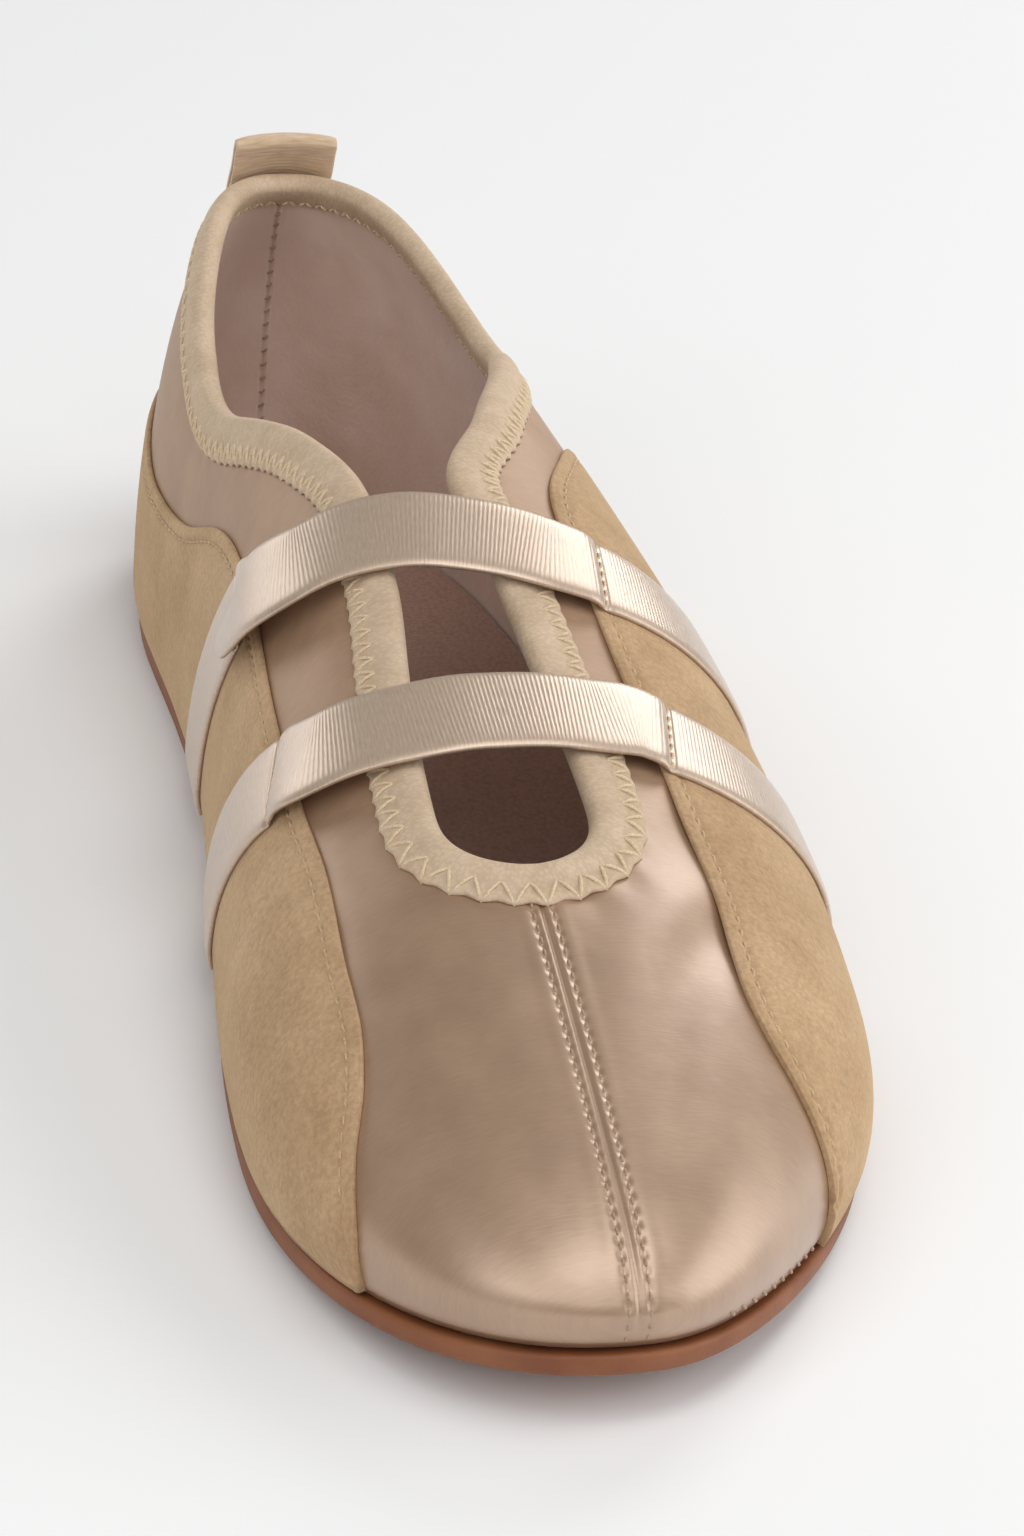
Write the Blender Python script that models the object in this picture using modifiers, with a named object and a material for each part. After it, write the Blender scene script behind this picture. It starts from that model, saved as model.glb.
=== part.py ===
"""Slip-on ballet sneaker, left shoe, in metres.

The shoe stands on z = 0 with its toe towards -Y, its heel towards +Y and its outer
(lateral) side towards +X. Its satin upper is one thin shell on the surface of the last,
and every overlay is a second shell on the same surface: suede side panels, a folded
topline binding, two elastic straps over the slot and a heel pull tab.
"""
import bpy
import bmesh
import numpy as np

# Sizes of the last and the sole, in metres
LENGTH = 0.248          # heel to toe, along the widest line of the upper
BALL_WIDTH = 0.088      # across the ball of the foot
INSTEP = 0.058          # height of the instep ridge that the ridge shares refer to
COLLAR = 0.0642         # height of the collar at the back of the heel
SOLE_THICK = 0.0030
TOE_SPRING = 0.0076     # rise of the sole at the tip of the toe
SOLE_EDGE = 0.0011      # how far the sole stands out past the foot of the upper
SIDE_RISE = 0.0044      # from the foot of the upper to its widest line
TUCK = 0.0013           # how far the upper turns in below its widest line
INSOLE_THICK = 0.0030

# Sizes of the cloth pieces
GAP = 0.0004            # clearance between pieces that touch
WALL = 0.0018           # upper with its lining
SUEDE = 0.0009
BINDING = 0.0008        # cloth of the binding
BINDING_GAP = 0.0006    # its clearance to the edge, which bends two ways
BINDING_OUT = 0.0062    # its width outside, from the edge of the upper
BINDING_IN = 0.0038     # its width inside
SLOT_WIDTH = 0.0188     # widest part of the slot between its bound edges
SLOT_FRONT = 0.1853     # from the heel to the front end of the slot
SLOT_BACK = 0.0880      # from the heel to where the collar turns into the slot
SLOT_ROUND = 0.0094     # radius of the slot's front end
CORNER = 0.0030         # softness of the corner between collar and slot
STRAP_WIDTH = 0.0140
STRAP_THICK = 0.0012
STRAP_RISE = 0.0020     # most that a strap stands off between the suede panels
TAB_WIDTH = 0.0156
TAB_THICK = 0.0011
TAB_RISE = 0.0062       # loop of the pull tab above the binding
TAB_LENGTH = 0.0240     # from the binding's fold down to the tab's sewn end
TAB_FOLD = 0.0004       # space between the two layers of the tab

# Columns: share of length from the heel, lateral and medial half width as shares of
# BALL_WIDTH, height of the ridge as a share of INSTEP
LAST = np.array([
    (0.00, 0.285, 0.286, 1.255),
    (0.10, 0.314, 0.286, 1.221),
    (0.20, 0.355, 0.285, 1.183),
    (0.30, 0.403, 0.278, 1.122),
    (0.40, 0.464, 0.284, 1.036),
    (0.50, 0.509, 0.314, 0.935),
    (0.60, 0.532, 0.353, 0.794),
    (0.70, 0.527, 0.387, 0.683),
    (0.80, 0.490, 0.400, 0.572),
    (0.90, 0.409, 0.400, 0.467),
    (1.00, 0.301, 0.397, 0.383)])
# Columns: share of length, height of the collar's edge as a share of COLLAR on the
# lateral and on the medial side
TOPLINE = np.array([
    (0.000, 1.000, 1.000), (0.100, 1.005, 1.005), (0.200, 0.860, 0.850),
    (0.250, 0.870, 0.790), (0.285, 0.930, 0.800), (0.330, 0.970, 0.865),
    (0.370, 0.990, 0.920), (0.430, 1.000, 0.985), (0.504, 1.121, 1.121),
    (0.605, 1.402, 1.402)])
# Columns: share of length, the slot's half width as a share of SLOT_WIDTH on each side
SLOT = np.array([
    (0.400, 0.250, 0.400), (0.430, 0.200, 0.375), (0.459, 0.140, 0.345),
    (0.480, 0.165, 0.335), (0.512, 0.260, 0.330), (0.544, 0.320, 0.328),
    (0.605, 0.405, 0.405), (0.665, 0.470, 0.470), (0.740, 0.497, 0.497)])
# Columns: share of length at the outline, share of the way to the slot's front end
# that the upper's lines on that outline point aim at
AIM = np.array([(0.00, 0.00), (0.15, 0.08), (0.40, 0.40), (0.60, 0.66), (0.80, 0.90),
                (1.00, 1.00)])
# Columns: share of the side from heel to toe at the sole and at the panel's edge, height
# of that edge as a share of the upper's own height there
SUEDE_LATERAL = np.array([
    (0.000, 0.000, 0.42), (0.100, 0.100, 0.44), (0.200, 0.200, 0.49),
    (0.300, 0.300, 0.60), (0.385, 0.385, 0.77), (0.440, 0.440, 0.81),
    (0.510, 0.510, 0.80), (0.600, 0.600, 0.79), (0.694, 0.694, 0.76),
    (0.739, 0.739, 0.735), (0.783, 0.783, 0.67), (0.819, 0.819, 0.59),
    (0.838, 0.840, 0.50), (0.846, 0.850, 0.40), (0.852, 0.854, 0.28),
    (0.857, 0.856, 0.17), (0.862, 0.858, 0.06)])
SUEDE_MEDIAL = np.array([
    (0.000, 0.000, 0.42), (0.100, 0.100, 0.42), (0.200, 0.200, 0.44),
    (0.280, 0.280, 0.56), (0.350, 0.350, 0.65), (0.420, 0.420, 0.62),
    (0.500, 0.500, 0.57), (0.583, 0.583, 0.555), (0.656, 0.656, 0.59),
    (0.725, 0.720, 0.61), (0.770, 0.775, 0.56), (0.805, 0.817, 0.47),
    (0.828, 0.839, 0.35), (0.848, 0.850, 0.20), (0.870, 0.862, 0.06)])
# Share of the side from heel to toe where each strap's centre meets the sole and the
# edge of the suede: lateral sole, lateral edge, medial edge, medial sole
STRAPS = {
    "strap_rear": (0.475, 0.555, 0.450, 0.395),
    "strap_front": (0.597, 0.675, 0.624, 0.550)}
# Way of each strap's middle line between the suede panels, from the lateral side: share
# of the length from the heel, share of the ball's width, share of STRAP_RISE
STRAP_WAYS = {
    "strap_rear": [
        (0.529, 0.167, 0.10), (0.523, 0.090, 0.05), (0.517, 0.007, 0.05),
        (0.5105, -0.085, 0.15), (0.507, -0.136, 0.45), (0.503, -0.182, 0.80),
        (0.490, -0.219, 0.80), (0.469, -0.243, 0.35)],
    "strap_front": [
        (0.6475, 0.216, 0.05), (0.6485, 0.153, 0.05), (0.6475, 0.078, 0.05),
        (0.6475, -0.016, 0.05), (0.6475, -0.120, 0.20), (0.645, -0.182, 0.55),
        (0.6395, -0.227, 0.55)]}

# Fixed shape numbers of the last
HEEL_ROUND, HEEL_POWER = 0.199, 2.1
TOE_ROUND, TOE_POWER = 0.752, 2.242
SIDE_POWER, CROWN_POWER = 2.253, 2.062
SPRING_START = 0.72
SUEDE_FOOT = 0.88       # how far the suede reaches down from the widest line
STRAP_FOOT = 0.70       # how far the straps do
MEDIAL_LEAN = 1.6       # power by which a strap leans to the toe as it climbs
STRAP_LINES = (-1, -0.5, 0, 0.5, 1)
STRAP_ROWS = 19         # rows of the free part
AIM_BACK = 0.153        # share of length where the heel's lines aim
DENSE_U, DENSE_V, DENSE_TUCK = 240, 60, 8
COLUMNS, ROWS, TUCK_ROWS = 76, 10, 3


def curve_through(x, table_x, table_y):
    """Smooth curve through the rows of a table, held level past its ends."""
    x = np.clip(x, table_x[0], table_x[-1])
    slope = np.gradient(table_y, table_x)
    i = np.clip(np.searchsorted(table_x, x, side="right") - 1, 0, len(table_x) - 2)
    step = table_x[i + 1] - table_x[i]
    t = (x - table_x[i]) / step
    rise = (2 * t**3 - 3 * t**2 + 1) * table_y[i] + (3 * t**2 - 2 * t**3) * table_y[i + 1]
    return rise + (t**3 - 2 * t**2 + t) * step * slope[i] + (t**3 - t**2) * step * slope[i + 1]


def unit(v):
    return v / np.maximum(np.linalg.norm(v, axis=-1, keepdims=True), 1e-12)


def half_width(t, side):
    """Half width of the last at share t of its length, rounded off at heel and toe."""
    heel = np.clip(1 - t / HEEL_ROUND, 0, 1)
    toe = np.clip((t - TOE_ROUND) / (1 - TOE_ROUND), 0, 1)
    ends = np.maximum(1 - heel**HEEL_POWER, 0) ** (1 / HEEL_POWER)
    ends = ends * np.maximum(1 - toe**TOE_POWER, 0) ** (1 / TOE_POWER)
    lateral = curve_through(t, LAST[:, 0], LAST[:, 1])
    medial = curve_through(t, LAST[:, 0], LAST[:, 2])
    return np.where(side > 0, lateral, medial) * BALL_WIDTH * ends


def sole_top(t):
    """Height of the sole's upper face: flat from the heel, then lifting to the toe."""
    lift = np.clip((t - SPRING_START) / (1 - SPRING_START), 0, 1)
    return SOLE_THICK + TOE_SPRING * lift**2


def ridge(t):
    """Height of the last's ridge above its widest line."""
    heel = np.clip(1 - t / 0.16, 0, 1)
    toe = np.clip((t - 0.734) / 0.266, 0, 1)
    top = curve_through(t, LAST[:, 0], LAST[:, 3]) * INSTEP - SIDE_RISE
    return top * (1 - heel**2.6) ** (1 / 3) * np.maximum(1 - toe**2.3, 0) ** (1 / 1.7)


def last_height(x, y):
    """Height of the last above the floor, from its widest line up over the ridge."""
    t = 0.5 - y / LENGTH
    across = np.clip(np.abs(x) / np.maximum(half_width(t, np.sign(x)), 1e-9), 0, 1)
    crown = np.maximum(1 - across**SIDE_POWER, 0) ** (1 / CROWN_POWER)
    return sole_top(t) + GAP + SIDE_RISE + ridge(t) * crown


def last_normal(x, y):
    """Outward normal of the last at a point near its ridge."""
    h = 0.0005
    slope_x = (last_height(x + h, y) - last_height(x - h, y)) / (2 * h)
    slope_y = (last_height(x, y + h) - last_height(x, y - h)) / (2 * h)
    return unit(np.stack([-slope_x, -slope_y, np.ones_like(slope_x)], -1))


def on_side(x, t, table):
    """Value of a table with one column for the lateral and one for the medial side."""
    lateral, medial = (curve_through(t, table[:, 0], table[:, k]) for k in (1, 2))
    return np.where(x > 0, lateral, medial)


def inside_opening(x, y, z):
    """Distance into the foot opening: above the collar's edge, or within the slot.

    The edge of the upper stays back by the cloth that is folded over it.
    """
    s = LENGTH / 2 - y
    collar = z - COLLAR * on_side(x, s / LENGTH, TOPLINE)
    half = SLOT_WIDTH * on_side(x, s / LENGTH, SLOT)
    past = np.maximum(s - SLOT_FRONT + SLOT_ROUND, 0)
    front = SLOT_ROUND - np.hypot(past, np.abs(x) * SLOT_ROUND / half)
    slot = np.where(past > 0, front, half - np.abs(x))
    slot = np.minimum(slot, (s - SLOT_BACK) / 2)
    both = CORNER * np.logaddexp(collar / CORNER, slot / CORNER)
    return both + BINDING + BINDING_GAP


def outline():
    """Widest line of the last, evenly spaced: heel, lateral side, toe, medial side."""
    t = (1 - np.cos(np.linspace(0, np.pi, 721))) / 2
    sides = []
    for side in (1, -1):
        line = np.stack([side * half_width(t, side), LENGTH * (0.5 - t)], -1)
        run = np.r_[0, np.cumsum(np.hypot(*np.diff(line, axis=0).T))]
        even = np.linspace(0, run[-1], DENSE_U // 2 + 1)
        sides.append(np.stack([np.interp(even, run, line[:, k]) for k in (0, 1)], -1))
    return np.vstack([sides[0], sides[1][::-1][1:-1]])


def make_skin():
    """Points of the upper's outer face, one line from each outline point to the opening.

    The first DENSE_TUCK rows turn in below the widest line, the others climb from it
    along a straight line in plan to the edge of the opening.
    """
    start = outline()
    back = LENGTH * AIM_BACK
    reach = SLOT_FRONT - SLOT_ROUND - back
    aim = back + reach * curve_through(0.5 - start[:, 1] / LENGTH, AIM[:, 0], AIM[:, 1])
    goal = np.stack([0 * aim, LENGTH / 2 - aim], -1)
    way = np.linspace(0, 1, 500) ** 2.6
    plan = start[:, None] + (goal - start)[:, None] * way[None, :, None]
    z = last_height(plan[..., 0], plan[..., 1])
    into = inside_opening(plan[..., 0], plan[..., 1], z)
    cut = np.empty(len(start))
    for i, row in enumerate(into):
        k = np.argmax(row > 0)
        cut[i] = np.interp(0, row[k - 1:k + 1], [k - 1, k])
    for _ in range(3):
        cut = (np.roll(cut, 1) + 2 * cut + np.roll(cut, -1)) / 4
    skin = np.empty((len(start), DENSE_TUCK + DENSE_V, 3))
    depth = np.linspace(1, 0, DENSE_TUCK, endpoint=False)
    inward = unit(goal - start)
    for i in range(len(start)):
        line = np.column_stack([plan[i], z[i]])
        steps = np.linspace(0, cut[i], 400)
        line = np.stack([np.interp(steps, np.arange(500), line[:, k]) for k in range(3)], -1)
        run = np.r_[0, np.cumsum(np.linalg.norm(np.diff(line, axis=0), axis=1))]
        even = np.linspace(0, run[-1], DENSE_V)
        for k in range(3):
            skin[i, DENSE_TUCK:, k] = np.interp(even, run, line[:, k])
        skin[i, :DENSE_TUCK, :2] = start[i] + TUCK * depth[:, None]**2 * inward[i]
        skin[i, :DENSE_TUCK, 2] = z[i, 0] - SIDE_RISE * depth
    return skin


SKIN = make_skin()
ALONG = (np.roll(SKIN, -1, 0) - np.roll(SKIN, 1, 0)) * DENSE_U / 2
UP = np.gradient(SKIN, axis=1)
UP[:, :DENSE_TUCK] *= DENSE_TUCK
UP[:, DENSE_TUCK:] *= DENSE_V - 1
NORMAL = unit(np.cross(UP, ALONG))


def sample(grid, u, v):
    """Value of a dense grid at u round the shoe (0 heel, 0.5 toe) and height share v.

    v is 0 on the widest line, 1 at the opening and -1 at the foot of the upper.
    """
    u = np.mod(u, 1) * DENSE_U
    row = np.where(v < 0, (v + 1) * DENSE_TUCK, DENSE_TUCK + v * (DENSE_V - 1))
    row = np.clip(row, 0, DENSE_TUCK + DENSE_V - 1.000001)
    i, j = np.floor(u).astype(int), np.floor(row).astype(int)
    a, b = (u - i)[..., None], (row - j)[..., None]
    i, after = i % DENSE_U, (i + 1) % DENSE_U
    low = grid[i, j] * (1 - a) + grid[after, j] * a
    high = grid[i, j + 1] * (1 - a) + grid[after, j + 1] * a
    return low * (1 - b) + high * b


def on_skin(u, v, out=0.0):
    """Point of the upper at (u, v), a distance out from its outer face."""
    u, v = np.broadcast_arrays(np.asarray(u, float), np.asarray(v, float))
    return sample(SKIN, u, v) + out * unit(sample(NORMAL, u, v))


def climb(u, foot, top, rows):
    """Heights up the skin from a foot below the widest line, one of them on that line.

    Also gives each one's share of the way by distance. u and top hold one line each.
    """
    share = np.r_[-foot, -foot / 2, np.linspace(0, 1, rows)]
    v = np.where(share < 0, share, share * top[:, None])
    tall = np.linalg.norm(sample(UP, u, 0 * u + 0.5), axis=-1)[:, None]
    run = v * np.where(v < 0, SIDE_RISE, tall)
    return v, (run - run[:, :1]) / (run[:, -1:] - run[:, :1])


def walk(u, v, step):
    """(u, v) of the point of the skin that lies a step (a vector) away."""
    goal = sample(SKIN, u, v) + step
    for _ in range(10):
        away = goal - sample(SKIN, u, v)
        along, up = sample(ALONG, u, v), sample(UP, u, v)
        aa, bb, ab = (along * along).sum(-1), (up * up).sum(-1), (along * up).sum(-1)
        pa, pb = (away * along).sum(-1), (away * up).sum(-1)
        det = aa * bb - ab * ab
        u = u + np.clip((pa * bb - pb * ab) / det, -0.01, 0.01)
        v = np.clip(v + np.clip((pb * aa - pa * ab) / det, -0.1, 0.1), -1, 1)
    return u, v


def square_up(u):
    """Direction on the skin, square to the opening's edge and out of it."""
    normal = unit(sample(NORMAL, u, 0 * u + 1))
    tangent = unit(on_skin(u + 0.004, 1) - on_skin(u - 0.004, 1))
    return unit(np.cross(tangent, normal))


def from_edge(u, down, out):
    """Point a distance down from the opening's edge, square to it, and out from the skin.

    A negative distance goes on past the edge.
    """
    u, down, out = np.broadcast_arrays(u, down, out)
    square = -square_up(u)
    at_u, at_v = walk(u, np.ones_like(u), square * np.maximum(down, 0)[..., None])
    face = unit(sample(NORMAL, at_u, at_v))
    past = square * np.minimum(down, 0)[..., None]
    return sample(SKIN, at_u, at_v) + past + face * out[..., None]


def clear_scene():
    for old in list(bpy.data.objects):
        bpy.data.objects.remove(old, do_unlink=True)


def material(name, colour, roughness):
    """Principled material from linear RGB; nothing on the shoe is metal."""
    made = bpy.data.materials.new(name)
    made.use_nodes = True
    shader = made.node_tree.nodes["Principled BSDF"]
    shader.inputs["Base Color"].default_value = (*colour, 1)
    shader.inputs["Roughness"].default_value = roughness
    shader.inputs["Metallic"].default_value = 0
    made.diffuse_color = (*colour, 1)
    return made


def add_mesh(name, mesh, finish):
    mesh.materials.append(finish)
    mesh.shade_smooth()
    mesh.set_sharp_from_angle(angle=0.7)
    made = bpy.data.objects.new(name, mesh)
    SHOE.objects.link(made)
    return made


def add_surface(name, points, finish, ring=False, tube=False):
    """Object from a grid of points; a ring closes its first direction, a tube both."""
    n, m = points.shape[:2]
    faces = []
    for i in range(n if ring else n - 1):
        after = (i + 1) % n
        for j in range(m if tube else m - 1):
            above = (j + 1) % m
            faces.append((i * m + j, i * m + above, after * m + above, after * m + j))
    mesh = bpy.data.meshes.new(name)
    mesh.from_pydata(points.reshape(-1, 3).tolist(), [], faces)
    return add_mesh(name, mesh, finish)


def thicken(piece, thickness, offset):
    """Give an open surface its cloth: offset -1 goes inward, 1 outward, 0 both ways."""
    shell = piece.modifiers.new("cloth", "SOLIDIFY")
    shell.thickness = thickness
    shell.offset = offset
    shell.use_even_offset = True


def upper(finish):
    """Satin upper with its lining: one hollow shell, open at the top and underneath."""
    u = np.arange(COLUMNS) / COLUMNS
    v = np.r_[np.linspace(-1, 0, TUCK_ROWS, endpoint=False), np.linspace(0, 1, ROWS)]
    piece = add_surface("upper", on_skin(u[:, None], v[None]), finish, ring=True)
    thicken(piece, WALL, -1)


def suede_panel(name, side, table, finish):
    """Side panel of suede from the heel's back seam to a point at the sole by the toe."""
    steps = np.hypot(np.diff(table[:, 1]), np.diff(table[:, 2]) / 3)
    run = np.r_[0, np.cumsum(steps)] / steps.sum()
    q = np.linspace(0, 1, 37) ** 1.1
    foot_u, edge_u, edge_v = (curve_through(q, run, table[:, k]) for k in range(3))
    v, way = climb(edge_u / 2, SUEDE_FOOT, edge_v, 8)
    share = foot_u[:, None] + (edge_u - foot_u)[:, None] * way
    seam = GAP / (2 * LENGTH)
    u = seam + share / 2 if side > 0 else 1 - seam - share / 2
    points = on_skin(u, v, GAP)
    if side < 0:
        points = points[::-1]
    thicken(add_surface(name, points, finish), SUEDE, 1)


def binding(finish):
    """Strip of cloth folded over the edge of the opening all the way round."""
    far, near = BINDING_GAP + BINDING, BINDING_GAP
    below = -WALL - BINDING_GAP
    bend = np.radians([90, 30, -30, -90])
    middle = (near + below) / 2
    outer, inner = middle - below + BINDING, middle - below
    section = [(BINDING_OUT, near), (BINDING_OUT, far), (BINDING_OUT / 2, far)]
    section += [(-far * np.cos(a), middle + outer * np.sin(a)) for a in bend]
    section += [(BINDING_IN, below - BINDING), (BINDING_IN, below)]
    section += [(-near * np.cos(a), middle + inner * np.sin(a)) for a in bend[::-1]]
    section += [(BINDING_OUT / 2, near)]
    down, out = np.array(section).T
    u = np.arange(COLUMNS) / COLUMNS
    points = from_edge(u[:, None], down[None], out[None])
    add_surface("topline_binding", points, finish, ring=True, tube=True)


def suede_height(table, share):
    """Height share of a panel's edge at a share of its side."""
    return curve_through(share, table[:, 1], table[:, 2])


def strap_side(side, sole_share, edge_share, table):
    """(u, v) of five lines up the suede, from the sole to the panel's edge.

    The end at the sole is cut level; a little higher the lines lie square to the strap,
    which on the medial side leans more and more towards the toe.
    """
    edge = np.array([edge_share / 2 if side > 0 else 1 - edge_share / 2])
    v, way = climb(edge, STRAP_FOOT, suede_height(table, np.array([edge_share])), 12)
    v, way = v[0], way[0]
    lean = 1 if side > 0 else MEDIAL_LEAN
    share = sole_share + (edge_share - sole_share) * way**lean
    u = share / 2 if side > 0 else 1 - share / 2
    normal = unit(sample(NORMAL, u, v))
    square = unit(np.cross(np.gradient(on_skin(u, v), axis=0), normal))
    level = unit(sample(ALONG, u, v))
    level = level / (level * square).sum(-1, keepdims=True)
    turn = np.clip(way / 0.3, 0, 1)[:, None]
    across = (level * (1 - turn) + square * turn) * STRAP_WIDTH / 2
    lines = [walk(u, v, part * across) for part in STRAP_LINES]
    at_u, at_v = (np.stack([line[k] for line in lines], 1) for k in (0, 1))
    return at_u, np.maximum(at_v, -STRAP_FOOT)


def settle(points, rise):
    """Moves points along the last's normals until they are at a height over it."""
    for _ in range(5):
        x, y, z = np.moveaxis(points, -1, 0)
        normal = last_normal(x, y)
        over = (z - last_height(x, y)) * normal[..., 2]
        points = points + normal * (rise - over)[..., None]
    return points


def strap_span(before, after, way):
    """Underside of a strap between its sewn sides, on a smooth line through its way."""
    ends = [np.r_[side[row, 2, :2], STRAP_SEAT] for side, row in ((before, -1), (after, 0))]
    t, across, rise = way.T
    between = [across * BALL_WIDTH, LENGTH * (0.5 - t), STRAP_SEAT + STRAP_RISE * rise]
    knots = np.vstack([ends[0], np.column_stack(between), ends[1]])
    line = settle(np.column_stack([knots[:, :2], last_height(*knots.T[:2])]), knots[:, 2])
    run = np.r_[0, np.cumsum(np.linalg.norm(np.diff(line, axis=0), axis=1))]
    even = np.linspace(0, run[-1], STRAP_ROWS)[1:-1]
    x, y, rise = (curve_through(even, run, knots[:, k]) for k in range(3))
    middle = settle(np.stack([x, y, last_height(x, y)], -1), rise)
    along = np.vstack([before[-1:, 2], middle, after[:1, 2]])
    along = unit(along[2:] - along[:-2])
    across = unit(np.cross(along, last_normal(x, y)))
    parts = np.array(STRAP_LINES)[:, None] * STRAP_WIDTH / 2
    return middle[:, None] + across[:, None] * parts


def strap(name, shares, way, finish):
    """Elastic strap: sewn to the suede on both sides and free where it spans the slot."""
    lateral = strap_side(1, shares[0], shares[1], SUEDE_LATERAL[:12])
    medial = strap_side(-1, shares[3], shares[2], SUEDE_MEDIAL[:12])
    medial = [grid[::-1, ::-1] for grid in medial]
    sewn = [on_skin(*lines, STRAP_SEAT) for lines in (lateral, medial)]
    skin = [on_skin(*lines) for lines in (lateral, medial)]
    points = np.concatenate([sewn[0], strap_span(*skin, np.array(way)), sewn[1]])
    thicken(add_surface(name, points, finish), STRAP_THICK, 1)


def pull_tab(finish):
    """Tape folded into a loop, both layers sewn to the outside of the heel."""
    over_satin = GAP + TAB_THICK / 2
    over_binding = over_satin + BINDING_GAP + BINDING
    layer = TAB_THICK + TAB_FOLD
    step = BINDING_OUT + TAB_THICK
    front = [(TAB_LENGTH, over_satin), (step + 3 * TAB_THICK, over_satin),
             (step, over_binding), (BINDING_OUT / 2, over_binding), (0, over_binding)]
    bend = np.radians([-90, -45, 0, 45, 90])
    top = [(-TAB_RISE - layer / 2 * np.cos(a), over_binding + layer / 2 * (1 + np.sin(a)))
           for a in bend]
    back = [(down, out + layer) for down, out in front[::-1]]
    down, out = np.array(front + top + back).T
    x = np.linspace(-0.5, 0.5, 7) * TAB_WIDTH
    sideways = np.stack([x, 0 * x, 0 * x], -1)[:, None]
    centre_u, centre_v = walk(0 * down, 0 * down + 1, -square_up(0) * np.maximum(down, 0)[:, None])
    u, v = walk(centre_u + 0 * x[:, None], centre_v + 0 * x[:, None], sideways)
    face = unit(sample(NORMAL, centre_u, centre_v))
    past = -square_up(0) * np.minimum(down, 0)[:, None]
    points = on_skin(u, v) + face * out[:, None] + past
    points[..., 0] = x[:, None]
    thicken(add_surface("pull_tab", points, finish), TAB_THICK, 0)


def plan_ring(grow):
    """Foot of the upper in plan, grown outward or, with a minus, drawn inward."""
    ring = on_skin(np.arange(COLUMNS) / COLUMNS, -1)[:, :2]
    run = np.roll(ring, -1, 0) - np.roll(ring, 1, 0)
    out = unit(np.stack([-run[:, 1], run[:, 0]], -1))
    return ring + out * grow


def slab(name, ring, low, thickness, edge, finish):
    """Flat outline with a thickness, cut across in the forefoot and lifted to the toe."""
    mesh = bpy.data.meshes.new(name)
    work = bmesh.new()
    corners = [work.verts.new((x, y, 0)) for x, y in ring[::-1]]
    base = work.faces.new(corners)
    top = bmesh.ops.extrude_face_region(work, geom=[base])["geom"]
    raised = [v for v in top if isinstance(v, bmesh.types.BMVert)]
    bmesh.ops.translate(work, verts=raised, vec=(0, 0, thickness))
    bmesh.ops.recalc_face_normals(work, faces=work.faces)
    stations = np.linspace(SPRING_START, 1, 12)
    for t in stations[:-1]:
        every = work.verts[:] + work.edges[:] + work.faces[:]
        bmesh.ops.bisect_plane(work, geom=every, plane_co=(0, LENGTH * (0.5 - t), 0),
                               plane_no=(0, 1, 0), dist=1e-6)
    rise = sole_top(stations) - SOLE_THICK
    for vert in work.verts:
        vert.co.z += low + np.interp(0.5 - vert.co.y / LENGTH, stations, rise)
    work.to_mesh(mesh)
    work.free()
    piece = add_mesh(name, mesh, finish)
    soft = piece.modifiers.new("edge", "BEVEL")
    soft.width = edge
    soft.segments = 1
    soft.limit_method = "ANGLE"
    soft.angle_limit = 0.9


def stand_at_origin():
    """Move the pieces together: box centred on the origin, lowest point on z = 0."""
    scene_graph = bpy.context.evaluated_depsgraph_get()
    corners = []
    for piece in SHOE.objects:
        shape = piece.evaluated_get(scene_graph).to_mesh()
        corners += [tuple(vert.co) for vert in shape.vertices]
    corners = np.array(corners)
    low, high = corners.min(0), corners.max(0)
    for piece in SHOE.objects:
        piece.location = (-(low[0] + high[0]) / 2, -(low[1] + high[1]) / 2, -low[2])


STRAP_SEAT = GAP + SUEDE + GAP

clear_scene()
SHOE = bpy.data.collections.new("ballet_sneaker")
bpy.context.scene.collection.children.link(SHOE)

slab("outsole", plan_ring(SOLE_EDGE), 0, SOLE_THICK, 0.0006,
     material("gum rubber", (0.48, 0.21, 0.09), 0.6))
slab("insole", plan_ring(-WALL - TUCK / 2 - GAP), SOLE_THICK + GAP, INSOLE_THICK, 0.0004,
     material("insole cloth", (0.42, 0.30, 0.26), 0.9))
upper(material("satin", (0.58, 0.45, 0.34), 0.4))
suede = material("suede", (0.51, 0.34, 0.19), 0.95)
suede_panel("suede_panel_lateral", 1, SUEDE_LATERAL, suede)
suede_panel("suede_panel_medial", -1, SUEDE_MEDIAL, suede)
binding(material("binding cloth", (0.61, 0.48, 0.33), 0.9))
elastic = material("elastic", (0.74, 0.61, 0.51), 0.5)
for strap_name, strap_shares in STRAPS.items():
    strap(strap_name, strap_shares, STRAP_WAYS[strap_name], elastic)
pull_tab(material("tape", (0.52, 0.39, 0.26), 0.85))
stand_at_origin()
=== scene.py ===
import bmesh
import bpy
import numpy as np
from mathutils import Matrix, Vector


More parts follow.
